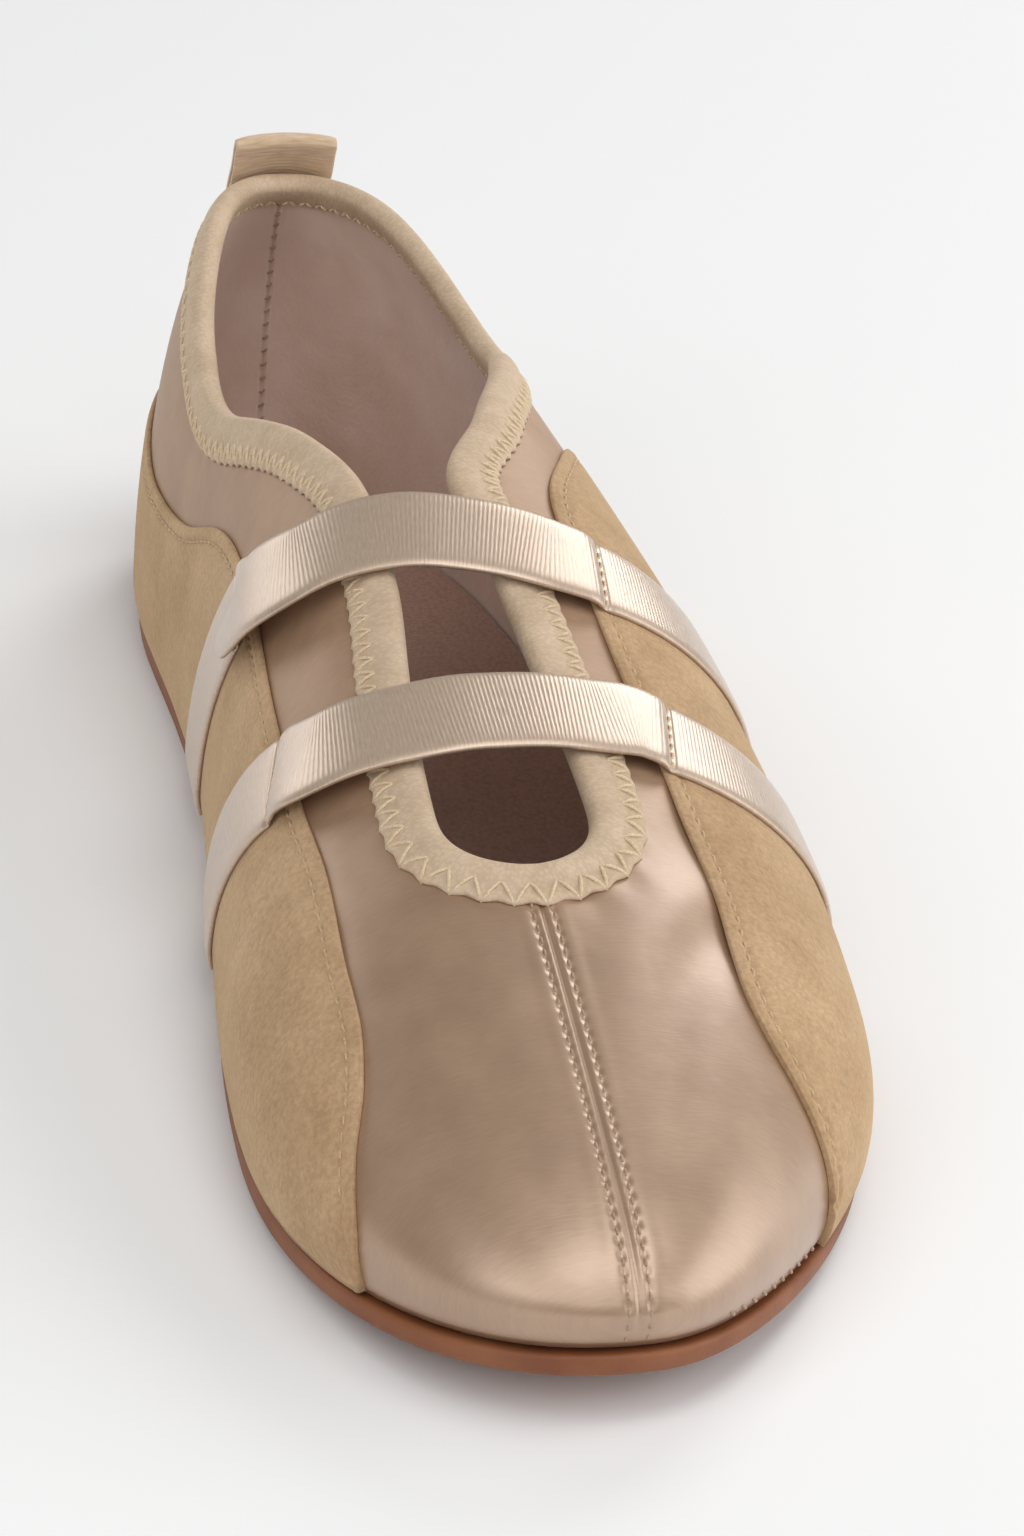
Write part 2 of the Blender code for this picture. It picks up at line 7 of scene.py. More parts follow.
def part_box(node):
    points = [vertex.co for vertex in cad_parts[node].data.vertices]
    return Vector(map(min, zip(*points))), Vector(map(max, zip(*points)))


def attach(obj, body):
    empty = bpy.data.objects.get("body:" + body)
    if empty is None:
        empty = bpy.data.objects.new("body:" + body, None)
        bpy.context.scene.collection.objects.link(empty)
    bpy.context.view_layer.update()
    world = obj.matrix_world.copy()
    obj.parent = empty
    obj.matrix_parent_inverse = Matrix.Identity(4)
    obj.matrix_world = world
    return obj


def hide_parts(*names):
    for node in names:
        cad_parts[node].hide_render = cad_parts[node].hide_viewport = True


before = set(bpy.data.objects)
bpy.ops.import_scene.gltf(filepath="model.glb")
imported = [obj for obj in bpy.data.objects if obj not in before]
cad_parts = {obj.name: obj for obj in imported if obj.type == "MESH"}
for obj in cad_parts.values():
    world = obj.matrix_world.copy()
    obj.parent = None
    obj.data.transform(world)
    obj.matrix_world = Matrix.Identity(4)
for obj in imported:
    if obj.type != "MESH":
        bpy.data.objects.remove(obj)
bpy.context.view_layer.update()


# Camera. The photograph looks down on the toe of a pair from about half a metre away.
# This camera keeps its place over the left shoe, turns to the middle of that shoe and
# has a longer lens, so that the one shoe fills the frame.

CAMERA_FROM_LAST = np.array([-0.1250, -0.5147, 0.2998])
CAMERA_LOOK = Vector((0.2299, 0.8549, -0.4651)).normalized()
CAMERA_RIGHT = Vector((0.9721, -0.2246, 0.0678))
LENS = 102.6

camera_data = bpy.data.cameras.new("camera")
camera_data.lens = LENS
camera_data.clip_start = 0.01
camera = bpy.data.objects.new("camera", camera_data)
bpy.context.scene.collection.objects.link(camera)
bpy.context.scene.camera = camera


# The last. A shoe is pulled over a wooden or plastic foot form, and every cloth piece of
# this one lies on that form: the satin first, then suede, binding, straps and tab. All
# sizes are in metres, and tables hold shares of the named sizes.

LENGTH = 0.248
BALL_WIDTH = 0.088
INSTEP = 0.058
COLLAR = 0.0642
SOLE_THICK = 0.0030
TOE_SPRING = 0.0076
SOLE_EDGE = 0.0011
SIDE_RISE = 0.0044
TUCK = 0.0013
GAP = 0.0004
WALL = 0.0018
BINDING = 0.0008
BINDING_GAP = 0.0006
SLOT_WIDTH = 0.0188
SLOT_FRONT = 0.1853
SLOT_BACK = 0.0880
SLOT_ROUND = 0.0094
CORNER = 0.0030
HEEL_ROUND, HEEL_POWER = 0.199, 2.1
TOE_ROUND, TOE_POWER = 0.752, 2.242
RIDGE_HEEL, RIDGE_HEEL_POWERS = 0.16, (2.6, 1 / 3)
RIDGE_TOE, RIDGE_TOE_POWERS = 0.734, (2.3, 1 / 1.7)
SIDE_POWER, CROWN_POWER = 2.253, 2.062
SPRING_START = 0.72
AIM_BACK = 0.153
AROUND, CLIMB, TURN_IN = 720, 150, 14
PLAN_STEPS, LINE_STEPS, EDGE_PASSES = 1000, 800, 27

LAST = np.array([
    (0.00, 0.285, 0.286, 1.255), (0.10, 0.314, 0.286, 1.221), (0.20, 0.355, 0.285, 1.183),
    (0.30, 0.403, 0.278, 1.122), (0.40, 0.464, 0.284, 1.036), (0.50, 0.509, 0.314, 0.935),
    (0.60, 0.532, 0.353, 0.794), (0.70, 0.527, 0.387, 0.683), (0.80, 0.490, 0.400, 0.572),
    (0.90, 0.409, 0.400, 0.467), (1.00, 0.301, 0.397, 0.383)])
# The next two have a column for the lateral side and one for the medial side.
TOPLINE = np.array([
    (0.000, 1.000, 1.000), (0.100, 1.005, 1.005), (0.200, 0.860, 0.850),
    (0.250, 0.870, 0.790), (0.285, 0.930, 0.800), (0.330, 0.970, 0.865),
    (0.370, 0.990, 0.920), (0.430, 1.000, 0.985), (0.504, 1.121, 1.121),
    (0.605, 1.402, 1.402)])
SLOT = np.array([
    (0.400, 0.250, 0.400), (0.430, 0.200, 0.375), (0.459, 0.140, 0.345),
    (0.480, 0.165, 0.335), (0.512, 0.260, 0.330), (0.544, 0.320, 0.328),
    (0.605, 0.405, 0.405), (0.665, 0.470, 0.470), (0.740, 0.497, 0.497)])
AIM = np.array([(0.00, 0.00), (0.15, 0.08), (0.40, 0.40), (0.60, 0.66), (0.80, 0.90),
                (1.00, 1.00)])


def curve_through(x, table_x, table_y):
    """Cubic through the rows of a table, with slopes from the rows on either side."""
    x = np.clip(x, table_x[0], table_x[-1])
    slope = np.gradient(table_y, table_x)
    i = np.clip(np.searchsorted(table_x, x, side="right") - 1, 0, len(table_x) - 2)
    step = table_x[i + 1] - table_x[i]
    t = (x - table_x[i]) / step
    rise = (2 * t**3 - 3 * t**2 + 1) * table_y[i] + (3 * t**2 - 2 * t**3) * table_y[i + 1]
    return rise + (t**3 - 2 * t**2 + t) * step * slope[i] + (t**3 - t**2) * step * slope[i + 1]


def unit(v):
    """Vectors scaled to length 1."""
    return v / np.maximum(np.linalg.norm(v, axis=-1, keepdims=True), 1e-12)


def run_along(line):
    """Length along a line of points, up to each of them."""
    return np.r_[0, np.cumsum(np.linalg.norm(np.diff(line, axis=0), axis=1))]


def at_runs(line, run, at):
    """Points of a line at given lengths along it, straight between its own points."""
    return np.stack([np.interp(at, run, one) for one in line.T], -1)


def half_width(t, side):
    """Table width at share t of the length, times superellipse quarters at both ends."""
    heel = np.clip(1 - t / HEEL_ROUND, 0, 1)
    toe = np.clip((t - TOE_ROUND) / (1 - TOE_ROUND), 0, 1)
    ends = np.maximum(1 - heel**HEEL_POWER, 0) ** (1 / HEEL_POWER)
    ends = ends * np.maximum(1 - toe**TOE_POWER, 0) ** (1 / TOE_POWER)
    lateral = curve_through(t, LAST[:, 0], LAST[:, 1])
    medial = curve_through(t, LAST[:, 0], LAST[:, 2])
    return np.where(side > 0, lateral, medial) * BALL_WIDTH * ends


def sole_top(t):
    """Flat from the heel to the ball, then a parabola that lifts to the toe."""
    lift = np.clip((t - SPRING_START) / (1 - SPRING_START), 0, 1)
    return SOLE_THICK + TOE_SPRING * lift**2


def ridge(t):
    """Table height of the last's ridge, rounded off at heel and toe."""
    heel = np.clip(1 - t / RIDGE_HEEL, 0, 1)
    toe = np.clip((t - RIDGE_TOE) / (1 - RIDGE_TOE), 0, 1)
    top = curve_through(t, LAST[:, 0], LAST[:, 3]) * INSTEP - SIDE_RISE
    for end, (inner_power, outer_power) in ((heel, RIDGE_HEEL_POWERS), (toe, RIDGE_TOE_POWERS)):
        top = top * np.maximum(1 - end**inner_power, 0) ** outer_power
    return top


def last_height(x, y):
    """Height of the last: widest line plus the ridge times a superellipse in x."""
    t = 0.5 - y / LENGTH
    across = np.clip(np.abs(x) / np.maximum(half_width(t, np.sign(x)), 1e-9), 0, 1)
    crown = np.maximum(1 - across**SIDE_POWER, 0) ** (1 / CROWN_POWER)
    return sole_top(t) + GAP + SIDE_RISE + ridge(t) * crown


def last_normal(x, y):
    """Outward normal of the last, from its slopes along x and y."""
    h = 0.0005
    slope_x = (last_height(x + h, y) - last_height(x - h, y)) / (2 * h)
    slope_y = (last_height(x, y + h) - last_height(x, y - h)) / (2 * h)
    return unit(np.stack([-slope_x, -slope_y, np.ones_like(slope_x)], -1))


def on_side(x, t, table):
    """Value of a table with one column for the lateral and one for the medial side."""
    lateral, medial = (curve_through(t, table[:, 0], table[:, k]) for k in (1, 2))
    return np.where(x > 0, lateral, medial)


def inside_opening(x, y, z):
    """Distance into the opening: smooth maximum of height over the collar and slot depth."""
    s = LENGTH / 2 - y
    collar = z - COLLAR * on_side(x, s / LENGTH, TOPLINE)
    half = SLOT_WIDTH * on_side(x, s / LENGTH, SLOT)
    past = np.maximum(s - SLOT_FRONT + SLOT_ROUND, 0)
    front = SLOT_ROUND - np.hypot(past, np.abs(x) * SLOT_ROUND / half)
    slot = np.where(past > 0, front, half - np.abs(x))
    slot = np.minimum(slot, (s - SLOT_BACK) / 2)
    both = CORNER * np.logaddexp(collar / CORNER, slot / CORNER)
    return both + BINDING + BINDING_GAP


def outline():
    """Widest line of the last, evenly spaced: heel, lateral side, toe, medial side."""
    t = (1 - np.cos(np.linspace(0, np.pi, 1441))) / 2
    sides = []
    for side in (1, -1):
        line = np.stack([side * half_width(t, side), LENGTH * (0.5 - t)], -1)
        run = run_along(line)
        sides.append(at_runs(line, run, np.linspace(0, run[-1], AROUND // 2 + 1)))
    return np.vstack([sides[0], sides[1][::-1][1:-1]])


def make_skin():
    """Upper's outer face: from each outline point a line in plan to the opening's edge."""
    start = outline()
    back = LENGTH * AIM_BACK
    reach = SLOT_FRONT - SLOT_ROUND - back
    aim = back + reach * curve_through(0.5 - start[:, 1] / LENGTH, AIM[:, 0], AIM[:, 1])
    goal = np.stack([0 * aim, LENGTH / 2 - aim], -1)
    way = np.linspace(0, 1, PLAN_STEPS) ** 2.6
    plan = start[:, None] + (goal - start)[:, None] * way[None, :, None]
    z = last_height(plan[..., 0], plan[..., 1])
    into = inside_opening(plan[..., 0], plan[..., 1], z)
    k = np.argmax(into > 0, axis=1)
    row = np.arange(len(start))
    cut = k - into[row, k] / (into[row, k] - into[row, k - 1])
    for _ in range(EDGE_PASSES):
        cut = (np.roll(cut, 1) + 2 * cut + np.roll(cut, -1)) / 4
    skin = np.empty((len(start), TURN_IN + CLIMB, 3))
    depth = np.linspace(1, 0, TURN_IN, endpoint=False)
    inward = unit(goal - start)
    for i in range(len(start)):
        steps = np.linspace(0, cut[i], LINE_STEPS)
        line = at_runs(np.column_stack([plan[i], z[i]]), np.arange(PLAN_STEPS), steps)
        run = run_along(line)
        skin[i, TURN_IN:] = at_runs(line, run, np.linspace(0, run[-1], CLIMB))
        skin[i, :TURN_IN, :2] = start[i] + TUCK * depth[:, None]**2 * inward[i]
        skin[i, :TURN_IN, 2] = z[i, 0] - SIDE_RISE * depth
    return skin


SKIN = make_skin()
ALONG = (np.roll(SKIN, -1, 0) - np.roll(SKIN, 1, 0)) * AROUND / 2
UP = np.gradient(SKIN, axis=1)
UP[:, :TURN_IN] *= TURN_IN
UP[:, TURN_IN:] *= CLIMB - 1
NORMAL = unit(np.cross(UP, ALONG))


def cubic_weights(t):
    """Weights of four neighbours for a smooth curve between the middle two."""
    return (-t + 2 * t**2 - t**3) / 2, (2 - 5 * t**2 + 3 * t**3) / 2, \
        (t + 4 * t**2 - 3 * t**3) / 2, (t**3 - t**2) / 2


def sample(grid, u, v):
    """Smooth value of a grid at u round the shoe (0 heel, 0.5 toe) and height share v."""
    u, v = np.broadcast_arrays(np.asarray(u, float), np.asarray(v, float))
    column = np.mod(u, 1) * AROUND
    row = np.where(v < 0, (v + 1) * TURN_IN, TURN_IN + v * (CLIMB - 1))
    row = np.clip(row, 0, TURN_IN + CLIMB - 1.000001)
    i, j = np.floor(column).astype(int), np.floor(row).astype(int)
    total = 0
    for a, wa in zip((-1, 0, 1, 2), cubic_weights(column - i)):
        for b, wb in zip((-1, 0, 1, 2), cubic_weights(row - j)):
            near = np.clip(j + b, 0, TURN_IN + CLIMB - 1)
            total = total + grid[(i + a) % AROUND, near] * (wa * wb)[..., None]
    return total


def on_skin(u, v, out=0.0):
    """Point of the upper at (u, v), a distance out along its normal."""
    out = np.asarray(out, float)[..., None]
    return sample(SKIN, u, v) + out * unit(sample(NORMAL, u, v))


def walk(u, v, step):
    """(u, v) of the skin's point nearest to a step (a vector) away, by Newton's method."""
    goal = sample(SKIN, u, v) + step
    u, v = u + 0 * goal[..., 0], v + 0 * goal[..., 0]
    for _ in range(10):
        away = goal - sample(SKIN, u, v)
        along, up = sample(ALONG, u, v), sample(UP, u, v)
        aa, bb, ab = (along * along).sum(-1), (up * up).sum(-1), (along * up).sum(-1)
        pa, pb = (away * along).sum(-1), (away * up).sum(-1)
        det = aa * bb - ab * ab
        u = u + np.clip((pa * bb - pb * ab) / det, -0.01, 0.01)
        v = np.clip(v + np.clip((pb * aa - pa * ab) / det, -0.1, 0.1), -1, 1)
    return u, v


def square_up(u):
    """Direction on the skin, square to the opening's edge and out of it."""
    normal = unit(sample(NORMAL, u, 0 * u + 1))
    tangent = unit(on_skin(u + 0.004, 1) - on_skin(u - 0.004, 1))
    return unit(np.cross(tangent, normal))


def from_edge(u, down, out):
    """Point a distance down from the opening's edge, square to it, and out from the skin."""
    u, down, out = np.broadcast_arrays(u, down, out)
    square = -square_up(u)
    at_u, at_v = walk(u, np.ones_like(u), square * np.maximum(down, 0)[..., None])
    face = unit(sample(NORMAL, at_u, at_v))
    past = square * np.minimum(down, 0)[..., None]
    return sample(SKIN, at_u, at_v) + past + face * out[..., None]


def tall(u):
    """Length of the skin's line from its widest line up to the opening."""
    return np.linalg.norm(sample(UP, u, 0.5), axis=-1)


def smooth(x, low, high):
    """Rises from 0 at low to 1 at high with level ends."""
    t = np.clip((x - low) / (high - low), 0, 1)
    return t * t * (3 - 2 * t)


def hump(x, width):
    """Bell of height 1 at x = 0, where width is its half width at 0.37 of its height."""
    return np.exp(-(x / width)**2)


CAD_COLUMNS = 76
foot_line = on_skin(np.arange(CAD_COLUMNS) / CAD_COLUMNS, -1)[:, :2]
run_line = np.roll(foot_line, -1, 0) - np.roll(foot_line, 1, 0)
sole_line = foot_line + unit(np.stack([-run_line[:, 1], run_line[:, 0]], -1)) * SOLE_EDGE
low, high = (np.array(corner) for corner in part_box("outsole"))
SHIFT = np.zeros(3)
SHIFT[:2] = (low + high)[:2] / 2 - (sole_line.min(0) + sole_line.max(0)) / 2

back = -CAMERA_LOOK
right = (CAMERA_RIGHT - CAMERA_RIGHT.project(CAMERA_LOOK)).normalized()
turned = Matrix((right, back.cross(right), back)).transposed().to_4x4()
camera.matrix_world = Matrix.Translation(CAMERA_FROM_LAST + SHIFT) @ turned


# Outsole. A thin sheet of gum rubber, moulded in one piece and cemented to the upper. It
# is flat to past the ball, lifts at the toe, and has a softly rounded edge that stands a
# millimetre out from the upper, with a fine wave tread underneath.

def grid_mesh(name, points, across=None, along=None, ring=False, tube=False):
    """Mesh from a grid of points, with a UV map in metres.

    ring closes the first direction and tube the second; across and along then have one
    more row or column than the points, which carries the map past the join.
    """
    n, m = points.shape[:2]
    i, j = np.meshgrid(np.arange(n if ring else n - 1), np.arange(m if tube else m - 1),
                       indexing="ij")
    corners = [(i, j), (i, j + 1), (i + 1, j + 1), (i + 1, j)]
    faces = np.stack([(a % n) * m + b % m for a, b in corners], -1).reshape(-1, 4)
    mesh = bpy.data.meshes.new(name)
    mesh.vertices.add(n * m)
    mesh.vertices.foreach_set("co", (points + SHIFT).astype(np.float32).ravel())
    mesh.loops.add(faces.size)
    mesh.loops.foreach_set("vertex_index", faces.ravel())
    mesh.polygons.add(len(faces))
    mesh.polygons.foreach_set("loop_start", np.arange(len(faces)) * 4)
    if across is not None:
        flat = np.stack(np.broadcast_arrays(across, along), -1)
        places = np.stack([flat[a, b] for a, b in corners], 2).reshape(-1, 2)
        layer = mesh.uv_layers.new(name="UVMap")
        layer.data.foreach_set("uv", places.astype(np.float32).ravel())
    mesh.update()
    mesh.validate()
    mesh.shade_smooth()
    return mesh


def add_piece(name, mesh, material, slot, *nodes):
    """Object for a mesh, riding on the shoe's one body and standing for its CAD nodes."""
    piece = bpy.data.objects.new(name, mesh)
    bpy.context.scene.collection.objects.link(piece)
    piece.data.materials.append(material)
    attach(piece, "root")
    if nodes:
        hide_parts(*nodes)
    return piece


def weld(mesh, distance=0.00001):
    """Joins points that lie on one another, and closes each open end with a face."""
    work = bmesh.new()
    work.from_mesh(mesh)
    bmesh.ops.remove_doubles(work, verts=work.verts, dist=distance)
    bmesh.ops.dissolve_degenerate(work, edges=work.edges, dist=distance / 10)
    bmesh.ops.holes_fill(work, edges=[edge for edge in work.edges if edge.is_boundary])
    bmesh.ops.recalc_face_normals(work, faces=work.faces)
    work.to_mesh(mesh)
    work.free()
    mesh.shade_smooth()


def rgb(hex_colour):
    """sRGB hex to a linear colour with alpha."""
    part = np.array([int(hex_colour[k:k + 2], 16) for k in (1, 3, 5)]) / 255
    linear = np.where(part <= 0.04045, part / 12.92, ((part + 0.055) / 1.055) ** 2.4)
    return (*linear.tolist(), 1)


def add(tree, kind, settings=None, links=None):
    """Adds a node: settings go to its sockets or its own values, links to its sockets.

    A colour ramp's stops are pairs of a place and an sRGB hex colour.
    """
    node = tree.nodes.new(kind)
    for key, value in (settings or {}).items():
        if key == "color_ramp":
            for stop, (place, hex_colour) in zip(node.color_ramp.elements, value):
                stop.position, stop.color = place, rgb(hex_colour)
        elif isinstance(key, int) or key in node.inputs:
            node.inputs[key].default_value = value
        else:
            setattr(node, key, value)
    for key, socket in (links or {}).items():
        tree.links.new(socket, node.inputs[key])
    return node


def new_material(name, colour, **settings):
    """Material with a Principled shader whose constant values sit on its own sockets."""
    material = bpy.data.materials.new(name)
    material.use_nodes = True
    tree = material.node_tree
    shader = tree.nodes["Principled BSDF"]
    shader.inputs["Base Color"].default_value = rgb(colour)
    for key, value in settings.items():
        shader.inputs[key.replace("_", " ")].default_value = value
    return material, tree, shader


# Gum rubber, moulded: a warm brown with faint clouding and a dull, slightly pitted skin.
gum_rubber, tree, shader = new_material("gum_rubber", "#B5734F", Roughness=0.55)
place = add(tree, "ShaderNodeTexCoord").outputs["Object"]
cloud = add(tree, "ShaderNodeTexNoise", {"Scale": 1 / 0.012, "Detail": 3.0}, {"Vector": place})
pits = add(tree, "ShaderNodeTexNoise", {"Scale": 1 / 0.0006, "Detail": 2.0}, {"Vector": place})
colour = add(tree, "ShaderNodeValToRGB", {"color_ramp": ((0.3, "#7C4525"), (0.7, "#945C39"))},
             {"Fac": cloud.outputs["Fac"]}).outputs["Color"]
tree.links.new(colour, shader.inputs["Base Color"])
bump = add(tree, "ShaderNodeBump", {"Strength": 0.35, "Distance": 0.0002},
           {"Height": pits.outputs["Fac"]})
tree.links.new(bump.outputs["Normal"], shader.inputs["Normal"])

EDGE_ROUND = 0.0009
SPINE_HEEL, SPINE_TOE = 0.12, 0.86
# The rings stop just short of the spine, so that weld closes them with one face.
RING_END = 0.985
TREAD_DEPTH, TREAD_PITCH = 0.0005, 0.0052
TREAD_SWAY, TREAD_SWAY_WIDTH = 0.0011, 0.0024
# Rings of points underneath, round each corner of the edge, and on top.
UNDER, CORNER_RINGS, OVER = 59, 6, 20


def plan_line(u, grow):
    """Foot of the upper in plan, moved outward by grow, or inward by a negative one."""
    line = sample(SKIN, u, -1)[..., :2]
    run = sample(ALONG, u, -1)[..., :2]
    return line + unit(np.stack([-run[..., 1], run[..., 0]], -1)) * np.asarray(grow)[..., None]


def spine(y):
    """Line down the middle of the sole that the sheets' rings draw together on."""
    y = np.clip(y, LENGTH * (0.5 - SPINE_TOE), LENGTH * (0.5 - SPINE_HEEL))
    t = 0.5 - y / LENGTH
    return np.stack([(half_width(t, 1) - half_width(t, -1)) / 2, y], -1)


def sole_sheet(u, inset, grow):
    """Plan of rings from the edge (inset 0) to the spine (inset 1)."""
    edge = plan_line(u, grow)
    middle = spine(edge[..., 1])
    return edge + (middle - edge) * (RING_END * inset)[..., None]


u = (np.arange(480) / 480)[:, None]
round_off = np.linspace(0, np.pi / 2, CORNER_RINGS)
inner = np.linspace(0, 1, UNDER + 1)[1:] ** 0.8
flat_edge = SOLE_EDGE - EDGE_ROUND
out_curve, up_curve = EDGE_ROUND * np.sin(round_off), EDGE_ROUND * (1 - np.cos(round_off))
grow = np.r_[np.full(UNDER, flat_edge), flat_edge + out_curve, SOLE_EDGE - up_curve,
             np.full(OVER, flat_edge)]
inset = np.r_[inner[::-1], np.zeros(2 * CORNER_RINGS), np.linspace(0, 1, OVER + 1)[1:]]
height = np.r_[np.zeros(UNDER), up_curve, SOLE_THICK - EDGE_ROUND + out_curve,
               np.full(OVER, SOLE_THICK)]
plan = sole_sheet(u + 0 * inset, inset + 0 * u, grow + 0 * u)
rise = sole_top(0.5 - plan[..., 1] / LENGTH) - SOLE_THICK
wave = plan[..., 1] + TREAD_SWAY * np.sin(plan[..., 0] / TREAD_SWAY_WIDTH)
tread = smooth(np.sin(wave / TREAD_PITCH * 2 * np.pi), 0.35, 0.8)
band = smooth(inset, 0.10, 0.13) * (height == 0)
points = np.concatenate([plan, (rise + height + TREAD_DEPTH * tread * band)[..., None]], -1)
mesh = grid_mesh("outsole_rubber", points, ring=True)
weld(mesh)
add_piece("outsole_rubber", mesh, gum_rubber, "gum_rubber", "outsole")


# Insole. A foam sock lining covered with mauve cloth, glued in over the lasting board. It
# is dished a little under the heel and ball and its edge meets the lining.

INSOLE_THICK = 0.0030
INSOLE_TOP = SOLE_THICK + GAP + INSOLE_THICK
INSOLE_EDGE = 0.0028
DISH = 0.0010

insole_cloth, tree, shader = new_material("insole_cloth", "#C9AFA3", Roughness=0.9,
                                          Sheen_Weight=0.25, Sheen_Roughness=0.5)
place = add(tree, "ShaderNodeTexCoord").outputs["Object"]
threads = add(tree, "ShaderNodeTexVoronoi", {"Scale": 1 / 0.0006}, {"Vector": place})
colour = add(tree, "ShaderNodeValToRGB", {"color_ramp": ((0.1, "#B79889"), (0.8, "#A48577"))},
             {"Fac": threads.outputs["Distance"]}).outputs["Color"]
tree.links.new(colour, shader.inputs["Base Color"])
bump = add(tree, "ShaderNodeBump", {"Strength": 0.15, "Distance": 0.0002},
           {"Height": threads.outputs["Distance"]})
tree.links.new(bump.outputs["Normal"], shader.inputs["Normal"])

u = (np.arange(360) / 360)[:, None]
inset = np.r_[0.0, 0.0, np.linspace(0, 1, 40)[1:]]
plan = sole_sheet(u + 0 * inset, inset + 0 * u, -WALL - TUCK / 4 + 0 * u + 0 * inset)
rise = sole_top(0.5 - plan[..., 1] / LENGTH) - SOLE_THICK
dish = np.where(np.arange(len(inset)) == 0, -INSOLE_EDGE, -DISH * smooth(inset, 0, 0.4))
points = np.concatenate([plan, (rise + INSOLE_TOP + dish)[..., None]], -1)
mesh = grid_mesh("sock_lining", points, ring=True)
weld(mesh)
add_piece("sock_lining", mesh, insole_cloth, "insole_cloth", "insole")


# Upper. Cotton satin with a backing cloth, pulled over the last. The vamp is two halves
# joined by a seam down the middle, with a row of stitches on each side of it.

SATIN = 0.0008
BINDING_OUT = 0.0062
PUCKER, PUCKER_PITCH, PUCKER_FADE = 0.00013, 0.0052, 0.0026
SEAM_ROW = 0.0013
SEAM_PITCH = 0.0020
SEAM_DIP = 0.00012
# Section of the vamp's seam: distance from the middle, height and half width.
SEAM_SECTION = ((0, -0.00026, 0.0003), (0.0007, 0.00010, 0.0004), (0.0024, 0.00007, 0.0009))
# The vamp is stretched smooth; from SLACK_TOE back to SLACK_HEEL the cloth gets slacker.
SLACK_TOE, SLACK_HEEL = -0.078, -0.030

# Soft creases: x, y, turn in degrees, half length, half width, depth.
CREASES = np.array([
    (0.016, -0.078, 62, 0.016, 0.0035, 0.00035), (0.024, -0.070, 50, 0.014, 0.0030, 0.00030),
    (-0.017, -0.073, -58, 0.015, 0.0035, 0.00030), (-0.013, -0.090, -70, 0.012, 0.0032, 0.00022),
    (0.010, -0.096, 72, 0.012, 0.0034, 0.00022), (0.021, -0.055, 75, 0.011, 0.0026, 0.00025),
    (-0.020, -0.050, -78, 0.010, 0.0026, 0.00022)])


def edge_run(u):
    """Length of the opening's edge from the heel to u."""
    run = run_along(np.vstack([SKIN[:, -1], SKIN[:1, -1]]))
    return np.interp(np.mod(u, 1) * AROUND, np.arange(AROUND + 1), run)


EDGE_LENGTH = edge_run(0.9999999)


def cross_arc(points):
    """Signed length over the last, across it, from the ridge to each point."""
    share = np.linspace(0, 1, 15)
    x = points[..., 0, None] * share
    z = last_height(x, points[..., 1, None] + 0 * x)
    return np.sign(points[..., 0]) * np.hypot(np.diff(x), np.diff(z)).sum(-1)


def seam_line(side):
    """Line of the skin beside the vamp's middle, from the sole to the binding."""
    v = np.linspace(-0.85, 1, 500)
    step = np.stack([np.full_like(v, side * SEAM_ROW), 0 * v, 0 * v], -1)
    at_u, at_v = walk(0.5 + 0 * v, v, step)
    line = on_skin(at_u, at_v)
    keep = np.linalg.norm(line - on_skin(at_u, 1), axis=-1) > BINDING_OUT - 0.0012
    return at_u[keep], at_v[keep], run_along(line[keep])


def satin_relief(u, v, place):
    """Sum of puckers along the binding, the vamp's seam, and the creases."""
    down = (1 - v) * tall(u)
    count = np.round(EDGE_LENGTH / PUCKER_PITCH)
    beat = np.cos(2 * np.pi * edge_run(u) / EDGE_LENGTH * count)
    fade = np.exp(-np.maximum(down - BINDING_OUT, 0) / PUCKER_FADE)
    relief = PUCKER * beat * fade * (0.6 + 0.4 * np.sin(31 * u))
    x, y = place[..., 0], place[..., 1]
    vamp = smooth(0.5 * LENGTH - y, SLOT_FRONT - 0.004, SLOT_FRONT + 0.004)
    _, at_v, run = seam_line(1)
    stitches = np.interp(v, at_v, run) / run[-1] * np.round(run[-1] / SEAM_PITCH)
    beat = np.cos(2 * np.pi * stitches)
    off = np.abs(x)
    seam = sum(height * hump(off - at, wide) for at, height, wide in SEAM_SECTION)
    seam = seam - SEAM_DIP * (1 + beat) * hump(off - SEAM_ROW, 0.0004)
    relief = relief + seam * vamp
    for at_x, at_y, turn, half_length, half_wide, depth in CREASES:
        c, s = np.cos(np.radians(turn)), np.sin(np.radians(turn))
        along, off = (x - at_x) * c + (y - at_y) * s, (y - at_y) * c - (x - at_x) * s
        bend = off + 0.12 * along**2 / half_length
        across = 0.6 * hump(bend - 2 * half_wide, half_wide) - hump(bend, half_wide)
        relief = relief + depth * hump(along, half_length) * across
    return relief * smooth(v, -0.4, 0.0)


# Satin: a warp-faced weave, pressed smooth. The long floating threads give a soft, broad
# shine, and the light falls off quickly where the cloth turns away.
satin, tree, shader = new_material("satin", "#BA987C", Metallic=0.40, Roughness=0.38,
                                   Coat_Weight=0.65, Coat_Roughness=0.34, Coat_IOR=1.8)
shader.inputs["Specular IOR Level"].default_value = 0.8
cloth = add(tree, "ShaderNodeUVMap", {"uv_map": "UVMap"}).outputs["UV"]
